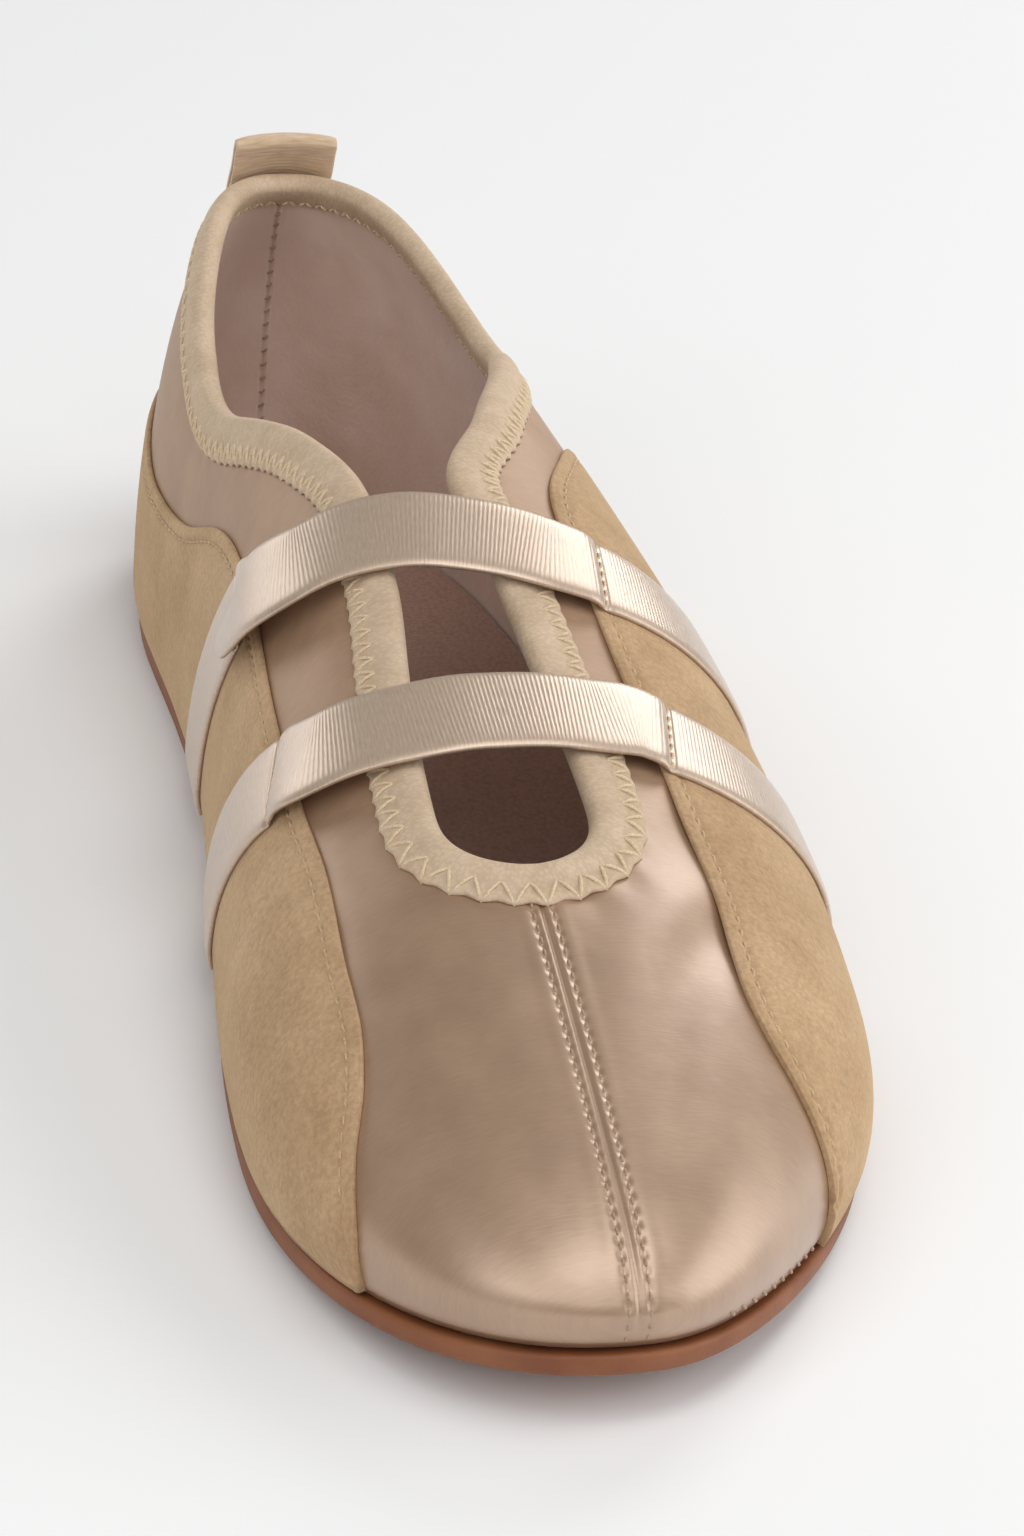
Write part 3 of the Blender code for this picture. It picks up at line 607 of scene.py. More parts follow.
# Threads 0.24 mm wide that run across the shoe, with slubs 2.4 mm long in them.
stretched = add(tree, "ShaderNodeMapping", {"Scale": (1 / 0.0024, 1 / 0.00024, 1.0)},
                {"Vector": cloth})
weave = add(tree, "ShaderNodeTexNoise", {"Scale": 1.0, "Detail": 2.0},
            {"Vector": stretched.outputs["Vector"]})
soft = add(tree, "ShaderNodeTexNoise", {"Scale": 1 / 0.009, "Detail": 3.0, "Roughness": 0.55},
           {"Vector": cloth})
colour = add(tree, "ShaderNodeValToRGB", {"color_ramp": ((0.3, "#A8876B"), (0.7, "#B49376"))},
             {"Fac": soft.outputs["Fac"]}).outputs["Color"]
fine = add(tree, "ShaderNodeMapRange",
           {"From Min": 0.3, "From Max": 0.7, "To Min": 0.94, "To Max": 1.05},
           {"Value": weave.outputs["Fac"]})
mixed = add(tree, "ShaderNodeVectorMath", {"operation": "SCALE"},
            {"Vector": colour, "Scale": fine.outputs["Result"]})
tree.links.new(mixed.outputs["Vector"], shader.inputs["Base Color"])
# The slack cloth towards the heel is rougher, and loses most of the pressed gloss.
place = add(tree, "ShaderNodeTexCoord").outputs["Object"]
back = add(tree, "ShaderNodeSeparateXYZ", None, {"Vector": place}).outputs["Y"]
slack = add(tree, "ShaderNodeMapRange",
            {"From Min": SLACK_TOE, "From Max": SLACK_HEEL, "To Min": 0.34, "To Max": 0.56},
            {"Value": back})
gloss = add(tree, "ShaderNodeMath", {"operation": "MULTIPLY_ADD", 1: 0.08},
            {0: soft.outputs["Fac"], 2: slack.outputs["Result"]})
tree.links.new(gloss.outputs["Value"], shader.inputs["Roughness"])
dull = add(tree, "ShaderNodeMapRange",
           {"From Min": SLACK_TOE, "From Max": SLACK_HEEL, "To Min": 0.80, "To Max": 0.15},
           {"Value": back})
tree.links.new(dull.outputs["Result"], shader.inputs["Coat Weight"])
broad = add(tree, "ShaderNodeBump", {"Strength": 0.12, "Distance": 0.0010},
            {"Height": soft.outputs["Fac"]})
bump = add(tree, "ShaderNodeBump", {"Strength": 0.16, "Distance": 0.0001},
           {"Height": weave.outputs["Fac"], "Normal": broad.outputs["Normal"]})
tree.links.new(bump.outputs["Normal"], shader.inputs["Normal"])


def spread(ranges):
    """Values from one range to the next: (start, end, count) each, without the last."""
    return np.concatenate([np.linspace(a, b, n, endpoint=False) for a, b, n in ranges])


u = spread([(0, 0.475, 150), (0.475, 0.525, 96), (0.525, 1, 150)])[:, None]
v = np.r_[np.linspace(-1, 0, 5)[:-1], np.linspace(0, 1, 190)]
place = on_skin(u, v)
face = on_skin(u, v, satin_relief(u + 0 * v, v + 0 * u, place))
inner_v = np.r_[np.linspace(1, 0, 22), np.linspace(0, -1, 4)[1:]]
behind = on_skin(u, inner_v, -SATIN)
points = np.concatenate([face, behind], 1)
map_u = np.r_[u, u[:1] + 1]
map_v = np.r_[v, inner_v, v[:1]]
flat = on_skin(map_u, map_v)
mesh = grid_mesh("upper_satin", points, cross_arc(flat), -flat[..., 1], ring=True, tube=True)
add_piece("upper_satin", mesh, satin, "satin", "upper")


# Lining. Thin dusty-mauve cloth, bonded to the inside of the upper and closed by one
# seam down the middle of the heel.

lining_cloth, tree, shader = new_material("lining_cloth", "#D6BFB3", Roughness=0.8,
                                          Sheen_Weight=0.3, Sheen_Roughness=0.5)
place = add(tree, "ShaderNodeTexCoord").outputs["Object"]
soft = add(tree, "ShaderNodeTexNoise", {"Scale": 1 / 0.011, "Detail": 3.0}, {"Vector": place})
knit = add(tree, "ShaderNodeTexVoronoi", {"Scale": 1 / 0.0007}, {"Vector": place})
colour = add(tree, "ShaderNodeValToRGB", {"color_ramp": ((0.3, "#DCC2B3"), (0.7, "#E8D2C5"))},
             {"Fac": soft.outputs["Fac"]}).outputs["Color"]
tree.links.new(colour, shader.inputs["Base Color"])
broad = add(tree, "ShaderNodeBump", {"Strength": 0.35, "Distance": 0.0015},
            {"Height": soft.outputs["Fac"]})
bump = add(tree, "ShaderNodeBump", {"Strength": 0.25, "Distance": 0.0002},
           {"Height": knit.outputs["Distance"], "Normal": broad.outputs["Normal"]})
tree.links.new(bump.outputs["Normal"], shader.inputs["Normal"])

LINING_GAP = 0.00002
RIPPLE = 0.00025

u = spread([(-0.02, 0.02, 60), (0.02, 0.98, 340)])[:, None]
v = np.r_[np.linspace(-0.9, 0, 4)[:-1], np.linspace(0, 1, 14)]
outside = on_skin(u, v, -SATIN - LINING_GAP)
inner_v = np.r_[np.linspace(1, 0, 60), np.linspace(0, -0.9, 4)[1:]]
from_heel = np.abs((u + 0.5) % 1 - 0.5)
heel = from_heel * 2.4 * LENGTH
ripple = RIPPLE * np.sin(2 * np.pi * (u * 23 + inner_v * 1.5))
ripple = ripple * np.sin(np.pi * np.clip(inner_v, 0, 1)) * smooth(from_heel, 0.01, 0.05)
seam = 0.00030 * hump(heel - 0.0008, 0.0006) - 0.00040 * hump(heel, 0.00028)
behind = on_skin(u, inner_v, -WALL - seam + ripple * 0.6)
mesh = grid_mesh("lining", np.concatenate([outside, behind], 1), ring=True, tube=True)
add_piece("lining", mesh, lining_cloth, "insole_cloth")


# Threads. Every seam is a lockstitch: each stitch is a short arch of polyester thread
# whose ends sink into the cloth.

def thread_material(name, low_colour, high_colour):
    """Polyester thread: the faint light and dark of its 0.25 mm twist is painted into the colour, with
    a soft shine.
    """
    material, tree, shader = new_material(name, low_colour, Roughness=0.5, Sheen_Weight=0.2)
    place = add(tree, "ShaderNodeTexCoord").outputs["Object"]
    # Painted light and shade of the twist: fine noise between a darker and a lighter colour.
    twist = add(tree, "ShaderNodeTexNoise", {"Scale": 1 / 0.00025, "Detail": 1.0},
                {"Vector": place})
    colour = add(tree, "ShaderNodeValToRGB", {"color_ramp": ((0.3, low_colour), (0.7, high_colour))},
                 {"Fac": twist.outputs["Fac"]}).outputs["Color"]
    tree.links.new(colour, shader.inputs["Base Color"])
    return material


# Cream thread stands out on the binding and straps.
thread = thread_material("cream_thread", "#C6AE8B", "#E0CBAA")
# Thread dyed like the satin: the vamp's rows are seen by their holes more than by colour.
vamp_thread = thread_material("vamp_thread", "#93775E", "#B2977B")
# Thread dyed like the suede, a little lighter where it catches the light.
suede_thread = thread_material("suede_thread", "#B3956F", "#CFB48E")

FINE_THREAD, SUEDE_THREAD, THICK_THREAD = 0.00020, 0.00019, 0.00026


def stitch_mesh(name, starts, ends, normals, radius, lift=0.7):
    """Arches of thread from starts to ends: a circle carried along a parabola.

    The middle stands up by lift times the radius and the ends sink below the surface.
    """
    s = np.array([-1.0, -0.8, -0.3, 0.3, 0.8, 1.0])
    thick = np.array([0.25, 0.8, 1.0, 1.0, 0.8, 0.25])
    rings, sides = len(s), 6
    turn = np.arange(sides) / sides * 2 * np.pi
    middle, half = (starts + ends) / 2, (ends - starts) / 2
    along = unit(half)
    normals = unit(normals - along * (normals * along).sum(-1, keepdims=True))
    side = np.cross(along, normals)
    rise = radius * ((1 + lift) * (1 - s**2) - 1)
    line = middle[:, None] + half[:, None] * s[:, None] + normals[:, None] * rise[:, None]
    circle = side[:, None] * np.cos(turn)[:, None] + normals[:, None] * np.sin(turn)[:, None]
    points = line[:, :, None] + circle[:, None] * (thick * radius)[None, :, None, None]
    count = len(points)
    a, b, c = np.meshgrid(np.arange(count), np.arange(rings - 1), np.arange(sides), indexing="ij")
    ring = (a * rings + b) * sides
    after = (c + 1) % sides
    quads = np.stack([ring + after, ring + c, ring + sides + c, ring + sides + after], -1)
    quads = quads.reshape(-1, 4)
    first = np.arange(count)[:, None] * rings * sides
    last = first + (rings - 1) * sides
    caps = np.concatenate([first + np.arange(sides), last + np.arange(sides)[::-1]])
    mesh = bpy.data.meshes.new(name)
    mesh.from_pydata((points.reshape(-1, 3) + SHIFT).tolist(), [], quads.tolist() + caps.tolist())
    mesh.shade_smooth()
    return mesh


def evenly(line, pitch, others=()):
    """Points a pitch apart along a dense line, with other arrays taken at the same places."""
    run = run_along(line)
    count = max(int(round(run[-1] / pitch)), 1)
    return [at_runs(one, run, np.arange(count + 1) * run[-1] / count) for one in (line, *others)]


def stitch_row(u, v, out, pitch, share):
    """Starts, ends and normals of stitches along a line of the skin, each a share of a pitch."""
    line = on_skin(u, v, out)
    points, normals = evenly(line, pitch, (unit(sample(NORMAL, u, v)),))
    gap = (1 - share) / 2 * (points[1:] - points[:-1])
    return points[:-1] + gap, points[1:] - gap, (normals[1:] + normals[:-1]) / 2


rows = []
for side in (-1, 1):
    at_u, at_v, _ = seam_line(side)
    rows.append(stitch_row(at_u, at_v, -0.00002, SEAM_PITCH, 0.62))
starts, ends, normals = (np.concatenate(one) for one in zip(*rows))
mesh = stitch_mesh("vamp_stitches", starts, ends, normals, FINE_THREAD, 0.6)
add_piece("vamp_stitches", mesh, vamp_thread, "satin")


# Lasting stitches. The thread that pulls the satin under the last shows where the satin
# meets the sole, on the lateral side of the toe only, as a row of ten short slanted
# stitches.

LASTING_FROM, LASTING_TO, LASTING_SLANT = 0.436, 0.474, 0.0024

u = np.linspace(LASTING_FROM, LASTING_TO, 10)
starts, ends = on_skin(u, -0.80), on_skin(u + LASTING_SLANT, -0.50)
normals = unit(sample(NORMAL, u, 0 * u - 0.6))
mesh = stitch_mesh("lasting_stitches", starts, ends, normals, THICK_THREAD)
add_piece("lasting_stitches", mesh, vamp_thread, "satin")


# Heel seam of the lining. The two edges are pulled together by a ladder of short stitches.

LADDER_PITCH = 0.0024

line_v = np.linspace(0.12, 0.93, 400)
ladder, ups = on_skin(0, line_v, -WALL - 0.0002), unit(sample(NORMAL, 0 * line_v, line_v))
rung, ups = evenly(ladder, LADDER_PITCH, (ups,))
half = np.array([0.0006, 0, 0])
slant = np.array([0, 0, 0.0003])
mesh = stitch_mesh("lining_stitches", rung - half - slant, rung + half + slant, -ups, FINE_THREAD)
add_piece("lining_stitches", mesh, vamp_thread, "insole_cloth")


# Suede panels. Split suede, one on each side, cut from the heel seam to a point beside
# the toe, laid over the satin with a raw edge and sewn down with one row of stitches.

SUEDE = 0.0009
SUEDE_FOOT = 0.88
SUEDE_SEAM = 0.00032
SUEDE_ROW = 0.0019
SUEDE_PITCH = 0.0022
SUEDE_SEAT = 0.00008
SUEDE_DIP, SUEDE_BEAT, SUEDE_ROLL = 0.00026, 0.00010, 0.00018

# Share of the side at the foot, share of the side at the edge, height share of the edge.
SUEDE_LATERAL = np.array([
    (0.000, 0.000, 0.42), (0.100, 0.100, 0.44), (0.200, 0.200, 0.49), (0.300, 0.300, 0.60),
    (0.385, 0.385, 0.77), (0.440, 0.440, 0.81), (0.510, 0.510, 0.80), (0.600, 0.600, 0.79),
    (0.694, 0.694, 0.76), (0.739, 0.739, 0.735), (0.783, 0.783, 0.67), (0.819, 0.819, 0.59),
    (0.838, 0.840, 0.50), (0.846, 0.850, 0.40), (0.852, 0.854, 0.28), (0.857, 0.856, 0.17),
    (0.862, 0.858, 0.06)])
SUEDE_MEDIAL = np.array([
    (0.000, 0.000, 0.42), (0.100, 0.100, 0.42), (0.200, 0.200, 0.44), (0.280, 0.280, 0.56),
    (0.350, 0.350, 0.65), (0.420, 0.420, 0.62), (0.500, 0.500, 0.57), (0.583, 0.583, 0.555),
    (0.656, 0.656, 0.59), (0.725, 0.720, 0.61), (0.770, 0.775, 0.56), (0.805, 0.817, 0.47),
    (0.828, 0.839, 0.35), (0.848, 0.850, 0.20), (0.870, 0.862, 0.06)])

# Split suede: a short, raised nap with no shine of its own, slightly darker where the nap
# lies over, and a faint bright fringe where it is seen edge-on.
suede, tree, shader = new_material("suede", "#BA9B76", Roughness=0.95,
                                   Sheen_Weight=0.55, Sheen_Roughness=0.45)
shader.inputs["Sheen Tint"].default_value = rgb("#EBD3AE")
shader.inputs["Specular IOR Level"].default_value = 0.15
place = add(tree, "ShaderNodeTexCoord").outputs["Object"]
patch = add(tree, "ShaderNodeTexNoise", {"Scale": 1 / 0.014, "Detail": 4.0, "Roughness": 0.6},
            {"Vector": place})
nap = add(tree, "ShaderNodeTexNoise", {"Scale": 1 / 0.0008, "Detail": 3.0, "Roughness": 0.7},
          {"Vector": place})
flecks = add(tree, "ShaderNodeTexNoise", {"Scale": 1 / 0.0022, "Detail": 2.0}, {"Vector": place})
base = add(tree, "ShaderNodeValToRGB", {"color_ramp": ((0.3, "#AC8B68"), (0.7, "#C4A481"))},
           {"Fac": patch.outputs["Fac"]}).outputs["Color"]
grain = add(tree, "ShaderNodeMapRange",
            {"From Min": 0.3, "From Max": 0.7, "To Min": 0.80, "To Max": 1.12},
            {"Value": nap.outputs["Fac"]})
spots = add(tree, "ShaderNodeMapRange",
            {"From Min": 0.62, "From Max": 0.74, "To Min": 1.0, "To Max": 0.90},
            {"Value": flecks.outputs["Fac"]})
both = add(tree, "ShaderNodeMath", {"operation": "MULTIPLY"},
           {0: grain.outputs["Result"], 1: spots.outputs["Result"]})
mixed = add(tree, "ShaderNodeVectorMath", {"operation": "SCALE"},
            {"Vector": base, "Scale": both.outputs["Value"]})
tree.links.new(mixed.outputs["Vector"], shader.inputs["Base Color"])
bump = add(tree, "ShaderNodeBump", {"Strength": 0.55, "Distance": 0.00035},
           {"Height": nap.outputs["Fac"]})
tree.links.new(bump.outputs["Normal"], shader.inputs["Normal"])


def climb(u, foot, top, share):
    """Heights up the skin from a foot below the widest line, and each one's share by distance."""
    v = np.where(share < 0, share * foot, share * top[:, None])
    run = v * np.where(v < 0, SIDE_RISE, tall(u)[:, None])
    return v, (run - run[:, :1]) / (run[:, -1:] - run[:, :1])


def side_u(side, share):
    """u at a share of the way from the heel to the toe, up the lateral or the medial side."""
    return share / 2 if side > 0 else 1 - share / 2


def nearest(points, line):
    """Distance from each point to the nearest of a dense line's points, and its index."""
    flat = points.reshape(-1, 3)
    best = np.full(len(flat), np.inf)
    index = np.zeros(len(flat), int)
    for start in range(0, len(line), 100):
        away = ((flat[:, None] - line[None, start:start + 100])**2).sum(-1)
        found = away.argmin(1)
        value = away[np.arange(len(flat)), found]
        index = np.where(value < best, found + start, index)
        best = np.minimum(best, value)
    return np.sqrt(best).reshape(points.shape[:-1]), index.reshape(points.shape[:-1])


def suede_panel(name, side, table):
    """Slab on lines from the sole up to the panel's edge: its face, cut edge and back.

    The face dips along the row of stitches and swells again between it and the edge.
    """
    steps = np.hypot(np.diff(table[:, 1]), np.diff(table[:, 2]) / 3)
    run = np.r_[0, np.cumsum(steps)] / steps.sum()
    q = np.linspace(0, 1, 380) ** 1.15
    foot_u, edge_u, edge_v = (curve_through(q, run, table[:, k]) for k in range(3))
    share = spread([(-1, 0, 3), (0, 0.8, 43)])
    share = np.r_[share, np.linspace(0.8, 1, 40)]
    v, way = climb(edge_u / 2, SUEDE_FOOT, edge_v, share)
    u = foot_u[:, None] + (edge_u - foot_u)[:, None] * way
    u = SUEDE_SEAM + u / 2 if side > 0 else 1 - SUEDE_SEAM - u / 2
    flat = on_skin(u, v)
    edge_q = np.linspace(0, 1, 1500) ** 1.15
    line_u = SUEDE_SEAM + curve_through(edge_q, run, table[:, 1]) / 2
    line_v = curve_through(edge_q, run, table[:, 2])
    line_u = line_u if side > 0 else 1 - line_u
    edge = on_skin(line_u, line_v)
    off, index = nearest(flat, edge)
    beat = np.cos(2 * np.pi * run_along(edge)[index] / SUEDE_PITCH)
    dip = (SUEDE_DIP - SUEDE_BEAT * beat) * hump(off - SUEDE_ROW, 0.0005)
    roll = SUEDE_ROLL * smooth(0.0009 - off, 0, 0.0009)
    out = SUEDE_SEAT + SUEDE - dip - roll
    along = run_along(flat[:, 46])[:, None]
    ends = smooth(np.minimum(along, along[-1] - along), -0.0001, 0.0007)
    out = SUEDE_SEAT + (out - SUEDE_SEAT) * ends
    past = 0.0003 / tall(u[:, -1])
    face = on_skin(u, v, out)
    lip = [on_skin(u[:, -1:], v[:, -1:] + past[:, None] * a, SUEDE_SEAT + SUEDE * b * ends)
           for a, b in ((0.7, 0.68), (1.0, 0.42), (0.8, 0.14))]
    low_rows = np.linspace(share.size - 1, 0, 12).astype(int)
    behind = on_skin(u[:, low_rows], v[:, low_rows], SUEDE_SEAT * 0.5)
    points = np.concatenate([face, *lip, behind], 1)
    if side < 0:
        points = points[::-1]
    return grid_mesh(name, points, tube=True), line_u, line_v


def offset_line(u, v, distance, flip):
    """Line of the skin that runs a distance beside another."""
    line = on_skin(u, v)
    normal = unit(sample(NORMAL, u, v))
    square = unit(np.cross(np.gradient(line, axis=0), normal)) * flip
    return walk(u, v, square * distance)


rows = []
for side, table, name in ((1, SUEDE_LATERAL, "suede_panel_lateral"),
                          (-1, SUEDE_MEDIAL, "suede_panel_medial")):
    mesh, line_u, line_v = suede_panel(name + "_skin", side, table)
    weld(mesh, 0.000001)
    add_piece(name + "_skin", mesh, suede, "suede", name)
    row_u, row_v = offset_line(line_u[4:-30], line_v[4:-30], SUEDE_ROW, -side)
    rows.append(stitch_row(row_u, row_v, SUEDE_SEAT + SUEDE - 0.00022, SUEDE_PITCH, 0.7))
starts, ends, normals = (np.concatenate(one) for one in zip(*rows))
mesh = stitch_mesh("suede_stitches", starts, ends, normals, SUEDE_THREAD, 0.5)
add_piece("suede_stitches", mesh, suede_thread, "suede")


# Topline binding. A strip of soft knit, folded over the edge of the opening all the way
# round and held by a zigzag whose points bite past the strip into the satin.

ZIGZAG_PITCH = 0.0026
# Top and foot of the zigzag, down from the edge: outside, then inside the collar.
ZIGZAG_TOP, ZIGZAG_FOOT = 0.0032, 0.0063
ZIGZAG_IN_TOP, ZIGZAG_IN_FOOT = 0.0030, 0.0043
# How far the thread pulls the strip in, steady and with the beat, and over what width.
PULL_FOOT = 0.00014, 0.00012, 0.0012
PULL_TOP = 0.00010, -0.00010, 0.0006
SWAY_OUT, SWAY_IN = 0.00020, 0.00040

# Knit binding tape: close, matt stitches with a soft pile and no direction to the eye.
binding_cloth, tree, shader = new_material("binding_cloth", "#C9B18E", Roughness=0.85,
                                           Sheen_Weight=0.4, Sheen_Roughness=0.4)
shader.inputs["Sheen Tint"].default_value = rgb("#F2E0C4")
cloth = add(tree, "ShaderNodeUVMap", {"uv_map": "UVMap"}).outputs["UV"]
ribs = add(tree, "ShaderNodeMapping", {"Scale": (1 / 0.0007, 1 / 0.0004, 1.0)}, {"Vector": cloth})
knit = add(tree, "ShaderNodeTexVoronoi", {"Scale": 1.0}, {"Vector": ribs.outputs["Vector"]})
soft = add(tree, "ShaderNodeTexNoise", {"Scale": 1 / 0.006, "Detail": 3.0}, {"Vector": cloth})
base = add(tree, "ShaderNodeValToRGB", {"color_ramp": ((0.3, "#C5AC8F"), (0.7, "#D5BDA2"))},
           {"Fac": soft.outputs["Fac"]}).outputs["Color"]
fine = add(tree, "ShaderNodeMapRange", {"From Max": 0.7, "To Min": 1.06, "To Max": 0.88},
           {"Value": knit.outputs["Distance"]})
mixed = add(tree, "ShaderNodeVectorMath", {"operation": "SCALE"},
            {"Vector": base, "Scale": fine.outputs["Result"]})
tree.links.new(mixed.outputs["Vector"], shader.inputs["Base Color"])
bump = add(tree, "ShaderNodeBump", {"Strength": 0.35, "Distance": 0.0002, "invert": True},
           {"Height": knit.outputs["Distance"]})
tree.links.new(bump.outputs["Normal"], shader.inputs["Normal"])


def binding_surface(u, down, out):
    """Section of the folded strip, as distances down from the edge and out from the skin."""
    count = np.round(EDGE_LENGTH / ZIGZAG_PITCH)
    beat = np.cos(2 * np.pi * count * edge_run(u) / EDGE_LENGTH)
    pull = 0
    for at, (steady, swing, wide) in ((ZIGZAG_FOOT, PULL_FOOT), (ZIGZAG_TOP, PULL_TOP)):
        pull = pull + hump(down - at, wide) * (steady + swing * beat) * (out > 0.0002)
    wave = SWAY_OUT * beat * smooth(down, 0.0050, 0.0062) * (out > 0)
    wave = wave + SWAY_IN * beat * smooth(down, 0.0024, 0.0036) * (out < -0.0015)
    return from_edge(u, down + wave, out - pull)


outer = np.array([(0.0062, 0.00008), (0.0063, 0.00050), (0.0061, 0.00078), (0.0056, 0.00088),
                  (0.0050, 0.00084), (0.0044, 0.00086), (0.0037, 0.00100), (0.0029, 0.00118),
                  (0.0020, 0.00124), (0.0011, 0.00118), (0.0004, 0.00104)])
inner = np.array([(0.0004, -0.00236), (0.0012, -0.00246), (0.0022, -0.00244), (0.0030, -0.00236),
                  (0.0036, -0.00222), (0.0038, -0.00200), (0.0037, -0.00178), (0.0020, -0.00100),
                  (0.0040, 0.00002)])
turn = np.radians(np.linspace(70, -70, 11))
fold = np.column_stack([-0.00125 * np.cos(turn) + 0.0004, -0.00066 + 0.00166 * np.sin(turn)])
down, out = np.vstack([outer, fold, inner]).T
u = (np.arange(940) / 940)[:, None]
points = binding_surface(u + 0 * down, down + 0 * u, out + 0 * u)
map_u = np.r_[edge_run(u), [[EDGE_LENGTH]]]
map_v = run_along(np.vstack([outer, fold, inner, outer[:1]]))
mesh = grid_mesh("binding_tape", points, map_v[None] + 0 * map_u, map_u + 0 * map_v[None],
                 ring=True, tube=True)
add_piece("binding_tape", mesh, binding_cloth, "binding_cloth", "topline_binding")


def zigzag(top, foot, out_top, out_foot, pitch):
    """Starts, ends and normals of zigzag legs, two to each pitch, round the opening."""
    count = int(round(EDGE_LENGTH / pitch))
    at = np.arange(2 * count + 1) / (2 * count) * EDGE_LENGTH
    u = np.interp(at, edge_run(np.arange(AROUND) / AROUND), np.arange(AROUND) / AROUND)
    low = np.arange(2 * count + 1) % 2 == 0
    points = from_edge(u, np.where(low, foot, top), np.where(low, out_foot, out_top))
    normals = unit(sample(NORMAL, u, 0.9 + 0 * u))
    flip = np.sign(out_top)
    return points[:-1], points[1:], (normals[1:] + normals[:-1]) / 2 * flip


rows = [zigzag(ZIGZAG_TOP, ZIGZAG_FOOT + 0.0003, 0.00108, 0.00036, ZIGZAG_PITCH),
        zigzag(ZIGZAG_IN_TOP, ZIGZAG_IN_FOOT, -0.00234, -0.00180, ZIGZAG_PITCH)]
starts, ends, normals = (np.concatenate(one) for one in zip(*rows))
mesh = stitch_mesh("binding_zigzag", starts, ends, normals, THICK_THREAD, 1.0)
add_piece("binding_zigzag", mesh, thread, "binding_cloth")


# Elastic straps. Two flat woven elastics over the opening. Each is sewn to the suede on
# both sides down to the sole, and is free between two rows of stitches near the suede's
# edges, where it stands off the satin a little.

STRAP_FOOT = 0.70
STRAP_WIDTH = 0.0140
STRAP_THICK = 0.0010
STRAP_SEAT = 0.0017
STRAP_SEWN = 0.0009
STRAP_RISE = 0.0020
STRAP_ROW = 0.0022
MEDIAL_LEAN = 1.6
RIB_PITCH, RIB_HEIGHT = 0.00058, 0.000022
STRAP_PITCH = 0.0021
SELVEDGE, SEWN_DIP = 0.00007, 0.00034

# Share of the side: lateral at the sole and at the suede edge, medial edge, medial sole.
STRAPS = {"strap_rear": (0.475, 0.555, 0.450, 0.395), "strap_front": (0.597, 0.675, 0.624, 0.550)}
# Way of the middle line: share of the length, share of the ball's width, share of the rise.
STRAP_WAYS = {
    "strap_rear": [
        (0.529, 0.167, 0.10), (0.523, 0.090, 0.05), (0.517, 0.007, 0.05), (0.5105, -0.085, 0.15),
        (0.507, -0.136, 0.45), (0.503, -0.182, 0.80), (0.490, -0.219, 0.80), (0.469, -0.243, 0.35)],
    "strap_front": [
        (0.6475, 0.216, 0.05), (0.6485, 0.153, 0.05), (0.6475, 0.078, 0.05), (0.6475, -0.016, 0.05),
        (0.6475, -0.120, 0.20), (0.645, -0.182, 0.55), (0.6395, -0.227, 0.55)]}

# Woven elastic: silky rayon floats over fine cross ribs, so it shines across the ribs.
elastic, tree, shader = new_material("elastic", "#CDB9A4", Metallic=0.40, Roughness=0.34,
                                     Coat_Weight=0.8, Coat_Roughness=0.30)
cloth = add(tree, "ShaderNodeUVMap", {"uv_map": "UVMap"}).outputs["UV"]
floats = add(tree, "ShaderNodeMapping", {"Scale": (1 / 0.0016, 1 / 0.00022, 1.0)}, {"Vector": cloth})
silk = add(tree, "ShaderNodeTexNoise", {"Scale": 1.0, "Detail": 2.0},
           {"Vector": floats.outputs["Vector"]})
base = add(tree, "ShaderNodeValToRGB", {"color_ramp": ((0.3, "#C0A891"), (0.7, "#D1BAA5"))},
           {"Fac": silk.outputs["Fac"]}).outputs["Color"]
tree.links.new(base, shader.inputs["Base Color"])
bump = add(tree, "ShaderNodeBump", {"Strength": 0.3, "Distance": 0.0001},
           {"Height": silk.outputs["Fac"]})
tree.links.new(bump.outputs["Normal"], shader.inputs["Normal"])

PARTS = np.sin(np.linspace(-np.pi / 2, np.pi / 2, 17))
CENTRE = len(PARTS) // 2


def strap_side(side, sole_share, edge_share, table, count):
    """(u, v) of lines up the suede: straight on the last's side, leaning by a power of the way."""
    edge = np.array([edge_share])
    top = curve_through(edge, table[:12, 1], table[:12, 2])
    share = np.r_[np.linspace(-1, 0, 12)[:-1], np.linspace(0, 1, count)]
    v, way = climb(side_u(side, edge), STRAP_FOOT, top, share)
    v, way = v[0], way[0]
    lean = 1 if side > 0 else MEDIAL_LEAN
    u = side_u(side, sole_share + (edge_share - sole_share) * way**lean)
    normal = unit(sample(NORMAL, u, v))
    square = unit(np.cross(np.gradient(on_skin(u, v), axis=0), normal))
    level = unit(sample(ALONG, u, v))
    level = level / (level * square).sum(-1, keepdims=True)
    turn = np.clip(way / 0.3, 0, 1)[:, None]
    across = (level * (1 - turn) + square * turn) * STRAP_WIDTH / 2
    at_u, at_v = walk(u[:, None] + 0 * PARTS, v[:, None] + 0 * PARTS, across[:, None] * PARTS[:, None])
    return at_u, np.maximum(at_v, -STRAP_FOOT)


def settle(points, rise):
    """Moves points along the last's normals until they are at a height over it."""
    for _ in range(5):
        x, y, z = np.moveaxis(points, -1, 0)
        normal = last_normal(x, y)
        over = (z - last_height(x, y)) * normal[..., 2]
        points = points + normal * (rise - over)[..., None]
    return points


